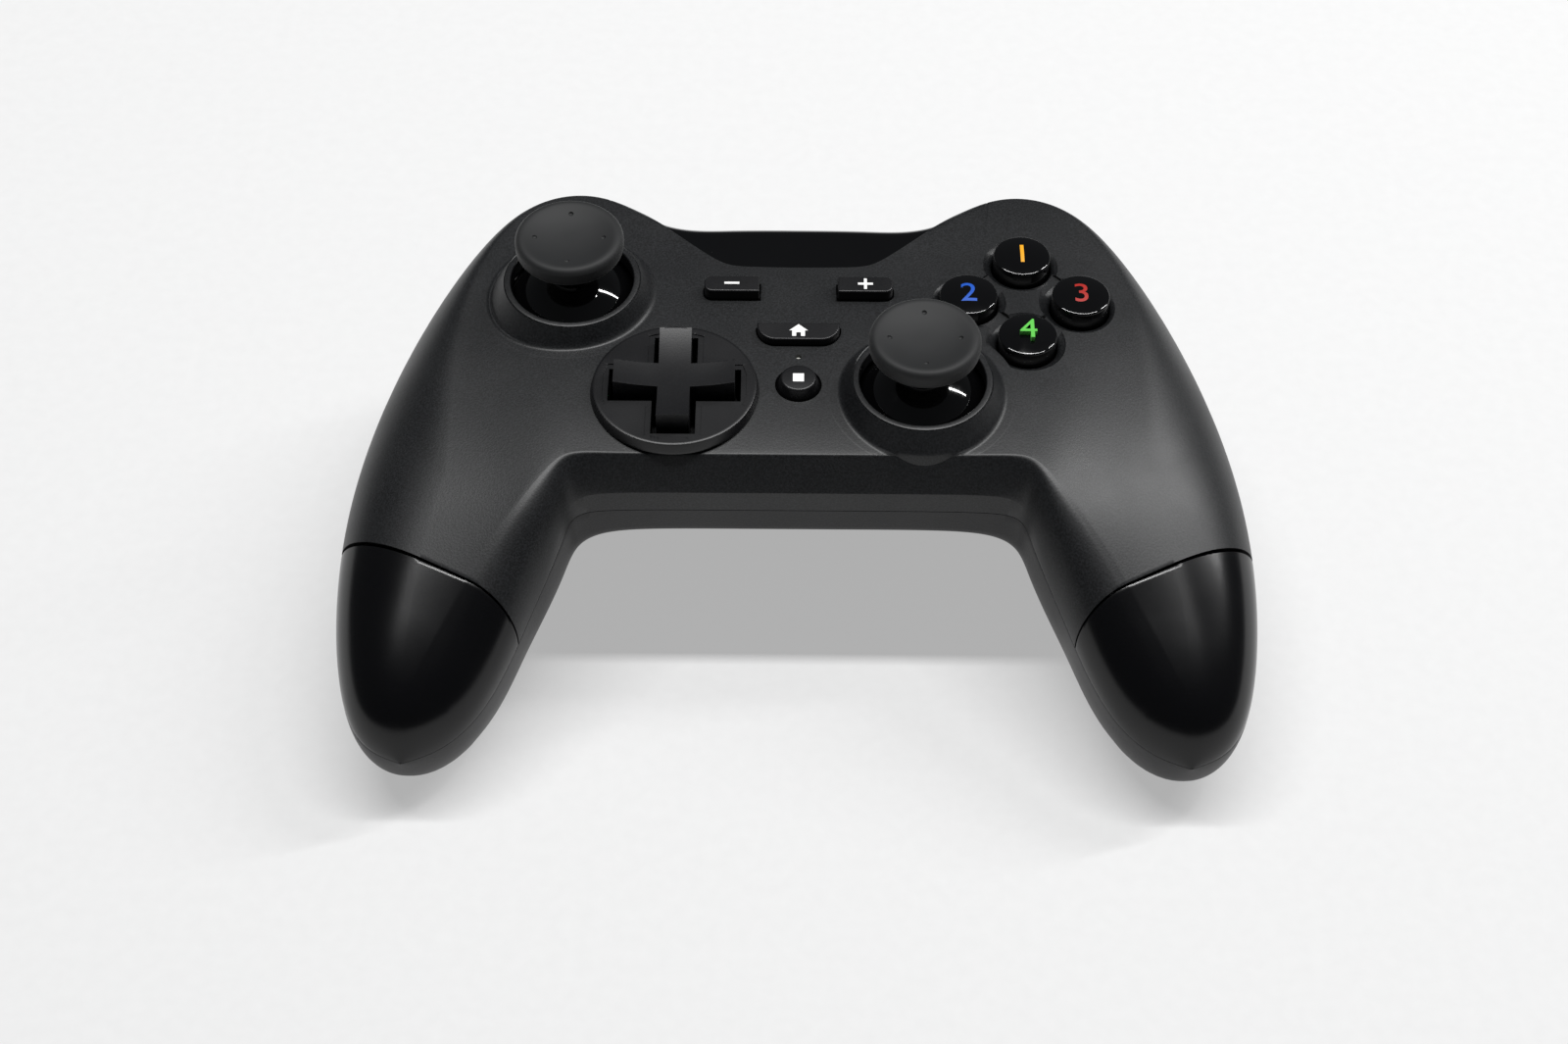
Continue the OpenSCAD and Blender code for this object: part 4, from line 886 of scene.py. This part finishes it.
class CONTROLLER_OT_thumb_sticks(bpy.types.Operator):
    """Rubber caps and gloss domes of both sticks"""
    bl_idname = "controller.thumb_sticks"
    bl_label = "Thumb sticks"

    def execute(self, context):
        for side, at in (("left", LEFT_STICK), ("right", RIGHT_STICK)):
            cap, dome = side + "_stick_cap", side + "_stick_dome"
            hand_over(self.cap(at), cap + "_form", side + "_cap", "stick_rubber", [cap], angle=50)
            hand_over(self.dome(at), dome + "_form", side + "_cap", "gloss_black", [dome])
        return {"FINISHED"}

    def cap(self, at):
        """Dished cap with a soft rim, a flared neck and four grip dimples."""
        top, r, neck, depth = high("left_stick_cap").z, 9.3, 4.4, 6.1
        dimple_at, dimple_r, dimple_sink = 5.8, 0.5, 0.35
        # Half of the section from its middle out, over the rim and in to the neck: radius and drop
        section = [(0, 1.25), (1.6, 1.24), (3.2, 1.12), (5.2, 0.78), (6.8, 0.3), (7.8, -0.02), (8.4, -0.03),
                   (9.0, 0.3), (9.36, 1.0), (9.33, 1.9), (9.25, 2.7), (8.9, 3.45), (8.0, 3.9), (6.6, 4.2),
                   (5.5, 4.6), (4.75, 5.2), (neck, 5.7), (neck, depth)]
        guides = [(radius, top - drop) for radius, drop in section]
        line = [along_plan(guides, t) for t in spaced(0, len(guides) - 1, 0.25)]
        line[0].x = 0
        profile = [(min(p.x, r), min(p.y, top)) for p in line]
        cap = turned("cap", profile + [(0, top - depth)], at, 120)
        for a in range(4):
            turn = math.radians(90 * a)
            spot = Vector((at[0] + dimple_at * math.cos(turn), at[1] + dimple_at * math.sin(turn),
                           top - dimple_sink))
            bpy.ops.object.select_all(action="DESELECT")
            bpy.ops.mesh.primitive_uv_sphere_add(segments=24, ring_count=16, radius=dimple_r * MM,
                                                 location=spot * MM)
            tool = bpy.context.object
            bpy.ops.object.transform_apply(location=True, rotation=True, scale=True)
            boolean(cap, tool)
        return cap

    def dome(self, at):
        """Thin gloss dome about the tilt centre."""
        pivot, out_r, in_r, neck = FACE_Z - 8, 13.5, 12.3, 4.4
        low_z = FACE_Z - 5
        first, final = math.asin(neck / out_r), math.acos((low_z - pivot) / out_r)
        outer = [(out_r * math.sin(a), pivot + out_r * math.cos(a)) for a in spaced(first, final, 0.03)]
        inner = [(in_r * math.sin(a), pivot + in_r * math.cos(a))
                 for a in spaced(math.acos((low_z - pivot) / in_r), 0.17, 0.06)]
        shank_r = 2.06
        shank = [(shank_r, pivot + in_r - 0.1), (shank_r, high("left_stick_dome").z)]
        profile = shank + [(neck, shank[1][1])] + outer + inner + shank[:1]
        return turned("dome", profile, at, 128)


class CONTROLLER_OT_direction_pad(bpy.types.Operator):
    """Round bezel and dished cross of the direction pad"""
    bl_idname = "controller.direction_pad"
    bl_label = "Direction pad"

    def cross(self, name, length, width, z0, z1):
        """Upright prism over a cross."""
        half, arm = length / 2, width / 2
        corners = [(half, -arm), (half, arm), (arm, arm), (arm, half), (-arm, half), (-arm, arm),
                   (-half, arm), (-half, -arm), (-arm, -arm), (-arm, -half), (arm, -half), (arm, -arm)]
        return slab(name, [(PAD.x + x, PAD.y + y) for x, y in corners], z0, z1)

    def execute(self, context):
        top, foot, plug_r = high("dpad_bezel").z, FACE_Z - 2.6, 12.65
        # Length and width of the slots for the cross, and of the shallow ledge round them
        slot, ledge_slot, ledge_r, ledge_depth = (22.3, 7.4), (24.2, 9.4), 12.3, 0.22
        bezel = turned("bezel", [(0, foot), (plug_r, foot), (plug_r, FACE_Z), (14.2, FACE_Z),
                                 (14.25, FACE_Z + 0.1), (14.22, FACE_Z + 0.5), (13.86, top - 0.3),
                                 (13.76, top - 0.1), (13.58, top - 0.01), (13.3, top), (0, top)], PAD, 144)
        boolean(bezel, self.cross("tool", *slot, FACE_Z - 5, CUT_TOP))
        ledge = self.cross("tool", *ledge_slot, top - ledge_depth, CUT_TOP)
        limit = [(0, DEEP_FOOT), (ledge_r, DEEP_FOOT), (ledge_r, CUT_TOP + 10), (0, CUT_TOP + 10)]
        boolean(ledge, turned("tool", limit, PAD, 144), "INTERSECT")
        boolean(bezel, ledge)
        soften(bezel, 0.08, 2, 50)
        hand_over(bezel, "dpad_bezel_form", "chassis", "pad_black", ["dpad_bezel"])
        self.make_cross()
        return {"FINISHED"}

    def make_cross(self):
        """Cross with a shallow dish, crisp edges and the flange below it."""
        length, arm, top, dish = 20.3, 5.4, high("dpad_cross").z, 1.2
        cross = self.cross("cross", length, arm, FACE_Z - 4.4, top + 0.4)
        floor = top - dish
        bowl = [(r, floor + dish * (r / (length / 2)) ** 2) for r in spaced(0, 12, 0.35)]
        boolean(cross, turned("tool", bowl + [(12, top + 3), (0, top + 3)], PAD, 160))
        soften(cross, 0.32, 3, 40)
        flange_r, flange_low, flange_top = 10.6, FACE_Z - 5.2, FACE_Z - 4.2
        flange = turned("flange", [(0, flange_low), (flange_r, flange_low), (flange_r, flange_top),
                                   (0, flange_top)], PAD)
        join([cross, flange], "dpad_cross_form")
        hand_over(cross, "dpad_cross_form", "pad_cross", "pad_black", ["dpad_cross"], angle=30)


class CONTROLLER_OT_face_buttons(bpy.types.Operator):
    """Four domed buttons with a printed number each"""
    bl_idname = "controller.face_buttons"
    bl_label = "Face buttons"
    CROWN_R = 4.66
    BALL_R = 17.0
    # Height of a figure as a share of the size of its text
    FIGURE_SHARE = 0.72

    def execute(self, context):
        sizes, colours = context.scene.controller_sizes, context.scene.controller_colours
        numbers = {"top": "1", "left": "2", "right": "3", "bottom": "4"}
        inks = {"top": colours.legend_top, "left": colours.legend_left, "right": colours.legend_right,
                "bottom": colours.legend_bottom}
        for side, at in FACE_BUTTONS.items():
            top = high("face_button_" + side).z
            button = turned("button", self.profile(top), at, 128)
            hand_over(button, "face_button_" + side + "_form", "button_" + side, "button_black",
                      ["face_button_" + side], angle=50)
            thin = tuple(0.8 * c for c in inks[side][:3]) + (1.0,)
            ink = pad_printed_ink("pad_print_" + side, inks[side], thin)
            legend = self.number(numbers[side], at, top, sizes.legend)
            hand_over(legend, "number_" + side, "button_" + side, "button_black", material=ink)
        return {"FINISHED"}

    def dome_height(self, r, top):
        """Height of the crowned top at a radius."""
        return top - self.BALL_R + math.sqrt(self.BALL_R * self.BALL_R - r * r)

    def profile(self, top):
        """Stem, flange, wall, round edge and crown."""
        stem_r, flange_r, wall_r = 3.2, 5.9, 5
        foot, flange_low, flange_top = FACE_Z - 8.4, FACE_Z - 4.4, FACE_Z - 3.6
        rim = self.dome_height(self.CROWN_R, top)
        crown = [(r, self.dome_height(r, top)) for r in spaced(self.CROWN_R, 0, 0.2)]
        return [(0, foot), (stem_r, foot), (stem_r, flange_low), (flange_r, flange_low),
                (flange_r, flange_top), (wall_r, flange_top), (wall_r, rim - 0.4), (4.97, rim - 0.24),
                (4.9, rim - 0.12), (4.8, rim - 0.045)] + crown

    def number(self, text, at, top, height):
        """A printed number: an upright prism of the figure crossed with the crown, raised a hair."""
        bpy.ops.object.select_all(action="DESELECT")
        bpy.ops.object.text_add(location=(0, 0, 0))
        figure = bpy.context.object
        figure.data.body = text
        figure.data.size = height / self.FIGURE_SHARE
        figure.data.extrude = 1.5 * MM
        figure.data.resolution_u = 8
        figure.data.offset = 0.02 * MM
        bpy.ops.object.convert(target="MESH")
        bpy.ops.object.mode_set(mode="EDIT")
        bpy.ops.mesh.select_all(action="SELECT")
        bpy.ops.mesh.remove_doubles(threshold=0.001 * MM)
        bpy.ops.mesh.normals_make_consistent(inside=False)
        bpy.ops.object.mode_set(mode="OBJECT")
        corners = [Vector(c) for c in figure.bound_box]
        centre = sum(corners, Vector()) / 8
        figure.location = Vector((at[0], at[1], top - 0.6)) * MM - centre
        bpy.ops.object.transform_apply(location=True, rotation=True, scale=True)
        reach, foot = 4, top - 1.4
        crown = [(r, self.dome_height(r, top) + PRINT_RISE) for r in spaced(0, reach, 0.2)]
        shell = turned("tool", crown + [(reach, foot), (0, foot)], at, 96)
        boolean(figure, shell, "INTERSECT", "EXACT")
        return figure


class CONTROLLER_OT_centre_buttons(bpy.types.Operator):
    """Minus, plus, home and capture buttons with their printed signs"""
    bl_idname = "controller.centre_buttons"
    bl_label = "Centre buttons"

    def execute(self, context):
        sizes, colours = context.scene.controller_sizes, context.scene.controller_colours
        white = pad_printed_ink("pad_print_white", colours.sign, linear("#dcdcda"))
        edge = sizes.button_edge / MM
        # Half length and half thickness of the bars of the signs
        half, thick = 1.3, 0.26
        for name, hand in (("plus", 1), ("minus", -1)):
            node = name + "_button"
            button = slab("button", sign_plan(0, hand), FLANGE_LOW, high(node).z)
            self.finish_flat(button, sign_plan(FLANGE_OUT, hand), node, name, edge)
            bars = [self.print_block(node, -half, -thick, half, thick)]
            if name == "plus":
                bars += [self.print_block(node, -thick, y0, thick, y1)
                         for y0, y1 in ((-half, -thick), (thick, half))]
            hand_over(join(bars, name + "_sign"), name + "_sign", name, "button_black", material=white)
        home = slab("button", home_plan(0), FLANGE_LOW, high("home_button").z)
        self.finish_flat(home, home_plan(FLANGE_OUT), "home_button", "home", edge)
        hand_over(self.house(), "home_sign", "home", "button_black", material=white)
        self.capture(white)
        return {"FINISHED"}

    def print_block(self, node, x0, y0, x1, y1):
        """A printed rectangle on top of a button, between two corners about its middle."""
        centre, top = middle(node), high(node).z
        return block("print", (centre.x + x0, centre.y + y0, top - PRINT_SINK),
                     (centre.x + x1, centre.y + y1, top + PRINT_RISE))

    def finish_flat(self, button, flange_plan, node, body, edge):
        """Round the edges of a flat button and add its flange and stem."""
        soften(button, edge, 3, 40)
        flange = slab("flange", flange_plan, FLANGE_LOW, FLANGE_TOP)
        stem_top = FLANGE_LOW + 0.2
        stem = turned("stem", [(0, STEM_FOOT), (STEM_R, STEM_FOOT), (STEM_R, stem_top), (0, stem_top)],
                      middle(node).xy, 32)
        join([button, flange, stem], node + "_form")
        hand_over(button, node + "_form", body, "button_black", [node], finish("pad_black"), 30)

    def house(self):
        """House sign: a roof over two walls and a lintel."""
        centre, top, eaves = middle("home_button"), high("home_button").z, 0.05
        shapes = [[(0, 1.55), (-1.6, eaves), (1.6, eaves)]]
        for x0, x1, foot in ((-1.1, -0.4, -1.3), (0.4, 1.1, -1.3), (-0.4, 0.4, -0.4)):
            shapes.append([(x0, foot), (x1, foot), (x1, eaves), (x0, eaves)])
        plans = [[(centre.x + x, centre.y + y) for x, y in shape] for shape in shapes]
        return join([slab("print", plan, top - PRINT_SINK, top + PRINT_RISE) for plan in plans], "home_sign")

    def capture(self, white):
        """Round tapered button with a square sign."""
        node = "capture_button"
        top, flange_r, base_r, half = high(node).z, 4.4, 3.7, 0.95
        profile = [(0, STEM_FOOT), (STEM_R, STEM_FOOT), (STEM_R, FLANGE_LOW), (flange_r, FLANGE_LOW),
                   (flange_r, FLANGE_TOP), (base_r, FLANGE_TOP), (base_r, FACE_Z), (3.08, top - 0.45),
                   (3.0, top - 0.22), (2.84, top - 0.05), (2.6, top), (0, top)]
        button = turned("button", profile, middle(node).xy, 96)
        hand_over(button, node + "_form", "capture", "button_black", [node], finish("pad_black"), 40)
        square = self.print_block(node, -half, -half, half, half)
        soften(square, 0.12, 2, 40)
        hand_over(square, "capture_sign", "capture", "button_black", material=white)


class CONTROLLER_OT_shoulders(bpy.types.Operator):
    """Bumpers and triggers with rounded edges"""
    bl_idname = "controller.shoulders"
    bl_label = "Shoulders"

    def execute(self, context):
        for side, short in (("left", "_l"), ("right", "_r")):
            for kind, edge in (("bumper", 0.6), ("trigger", 0.5)):
                node = side + "_" + kind
                piece = copy_node(node)
                soften(piece, edge, 3, 35)
                hand_over(piece, node + "_form", kind + short, "shoulder_black", [node], angle=40)
        return {"FINISHED"}


class CONTROLLER_OT_small_metal(bpy.types.Operator):
    """Charging socket with its tongue, and the screws with a driver recess"""
    bl_idname = "controller.small_metal"
    bl_label = "Socket and screws"

    def execute(self, context):
        a, b = low("charging_socket"), high("charging_socket")
        socket = copy_node("charging_socket")
        soften(socket, 0.25, 3, 40)
        hand_over(socket, "charging_socket_form", "chassis", "steel", ["charging_socket"])
        mid, side, half = (a.z + b.z) / 2, 1.2, 0.35
        tongue = block("tongue", (a.x + side, a.y + 1.9, mid - half), (b.x - side, b.y - 0.8, mid + half))
        soften(tongue, 0.15, 2, 40)
        hand_over(tongue, "charging_socket_tongue", "chassis", "chip")
        screws = copy_node("case_screws")
        for x, y, seat in SCREW_SEATS:
            for hand in (-1, 1):
                self.cut_recess(screws, hand * x, y, seat)
        hand_over(screws, "case_screws_form", "chassis", "steel", ["case_screws"])
        return {"FINISHED"}

    def cut_recess(self, screws, x, y, seat):
        """Cut a cross for the driver into the head of one screw."""
        long, short, depth, head = 1.3, 0.25, 0.8, 1.6
        foot = seat - head
        for wide, deep in ((long, short), (short, long)):
            near, far = (x - wide, y - deep, foot - 1), (x + wide, y + deep, foot + depth)
            boolean(screws, block("tool", near, far))


class CONTROLLER_OT_inner_parts(bpy.types.Operator):
    """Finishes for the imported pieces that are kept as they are"""
    bl_idname = "controller.inner_parts"
    bl_label = "Inner parts"

    def execute(self, context):
        slots = {part["node"]: part["material_slot"] for part in frame["record"]["subparts"]}
        for name, obj in frame["nodes"].items():
            if not obj.hide_render:
                obj.data.materials.clear()
                obj.data.materials.append(finish(slots[name]))
        return {"FINISHED"}


class CONTROLLER_OT_stage(bpy.types.Operator):
    """Floor, studio lights and the camera at the photo's angle"""
    bl_idname = "controller.stage"
    bl_label = "Stage"
    FLOOR_SIZE = 8
    FLOOR_GLOW = 0.42
    SKY_COLOUR = (0.9, 0.95, 1.0, 1.0)
    SKY_STRENGTH = 0.07
    # Place, lens and sensor width in millimetres, tilt and roll in degrees
    CAMERA_PLACE = (-2.26, -311.25, 367.0)
    CAMERA_TILT, CAMERA_ROLL = 41, 0.4
    CAMERA_LENS, CAMERA_SENSOR = 61.3, 36.0

    def floor(self, colour):
        """A wide sheet of matt opal acrylic, lit a little from below."""
        bpy.ops.object.select_all(action="DESELECT")
        bpy.ops.mesh.primitive_plane_add(size=self.FLOOR_SIZE)
        floor = bpy.context.object
        floor.name = "studio_floor"
        made, tree, shader, place = new_material("acrylic_opal_sheet_matt", roughness=0.9)
        mottle = noise(tree, place, 2.5, detail=2.0)
        wire(tree, shader, {"Base Color": blend(tree, mottle, colour, linear("#9a9a9a"))})
        shader.inputs["Emission Color"].default_value = (1, 1, 1, 1)
        shader.inputs["Emission Strength"].default_value = self.FLOOR_GLOW
        floor.data.materials.append(made)

    def ceiling_strip(self, name, place, turn, size, power):
        """A soft strip light that faces down, turned about the upright axis; metres, degrees and watts."""
        data = bpy.data.lights.new(name, "AREA")
        data.shape, data.energy = "RECTANGLE", power
        data.size, data.size_y = size
        light = bpy.data.objects.new(name, data)
        light.location = place
        light.rotation_euler = (0, 0, math.radians(turn))
        bpy.context.scene.collection.objects.link(light)

    def execute(self, context):
        scene = context.scene
        self.floor(scene.controller_colours.floor)
        world = bpy.data.worlds.new("studio")
        world.use_nodes = True
        sky = world.node_tree.nodes["Background"].inputs
        sky["Color"].default_value = self.SKY_COLOUR
        sky["Strength"].default_value = self.SKY_STRENGTH
        scene.world = world
        self.ceiling_strip("overhead_strip", place=(0.0, 0.2, 1.15), turn=0, size=(1.25, 0.08), power=17)
        self.ceiling_strip("right_strip", place=(1.35, 0.66, 1.15), turn=17, size=(1.4, 0.07), power=23)
        scene.view_settings.view_transform = "Standard"
        data = bpy.data.cameras.new("photo_camera")
        data.sensor_width, data.lens = self.CAMERA_SENSOR, self.CAMERA_LENS
        data.clip_start, data.clip_end = 0.01, 50
        camera = bpy.data.objects.new("photo_camera", data)
        camera.location = Vector(self.CAMERA_PLACE) * MM
        tilt = Matrix.Rotation(math.radians(self.CAMERA_TILT), 3, "X")
        roll = Matrix.Rotation(math.radians(self.CAMERA_ROLL), 3, "Z")
        camera.rotation_euler = (tilt @ roll).to_euler()
        scene.collection.objects.link(camera)
        scene.camera = camera
        return {"FINISHED"}


STEPS = (CONTROLLER_OT_top_shell, CONTROLLER_OT_bottom_shell, CONTROLLER_OT_grip_caps,
         CONTROLLER_OT_bridge_panel, CONTROLLER_OT_thumb_sticks, CONTROLLER_OT_direction_pad,
         CONTROLLER_OT_face_buttons, CONTROLLER_OT_centre_buttons, CONTROLLER_OT_shoulders,
         CONTROLLER_OT_small_metal, CONTROLLER_OT_inner_parts, CONTROLLER_OT_stage)


class CONTROLLER_PT_panel(bpy.types.Panel):
    """Sidebar panel with the building steps"""
    bl_label = "Game controller"
    bl_idname = "CONTROLLER_PT_panel"
    bl_space_type = "VIEW_3D"
    bl_region_type = "UI"
    bl_category = "Controller"

    def draw(self, context):
        for step in STEPS:
            self.layout.operator(step.bl_idname)
        for group in (context.scene.controller_sizes, context.scene.controller_colours):
            for key in group.__annotations__:
                self.layout.prop(group, key)


CLASSES = (ControllerSizes, ControllerColours) + STEPS + (CONTROLLER_PT_panel,)


def register():
    for cls in CLASSES:
        bpy.utils.register_class(cls)
    bpy.types.Scene.controller_sizes = PointerProperty(type=ControllerSizes)
    bpy.types.Scene.controller_colours = PointerProperty(type=ControllerColours)


def unregister():
    del bpy.types.Scene.controller_colours
    del bpy.types.Scene.controller_sizes
    for cls in reversed(CLASSES):
        bpy.utils.unregister_class(cls)


def main():
    register()
    for step in STEPS:
        group, name = step.bl_idname.split(".")
        getattr(getattr(bpy.ops, group), name)()


if __name__ == "__main__":
    main()
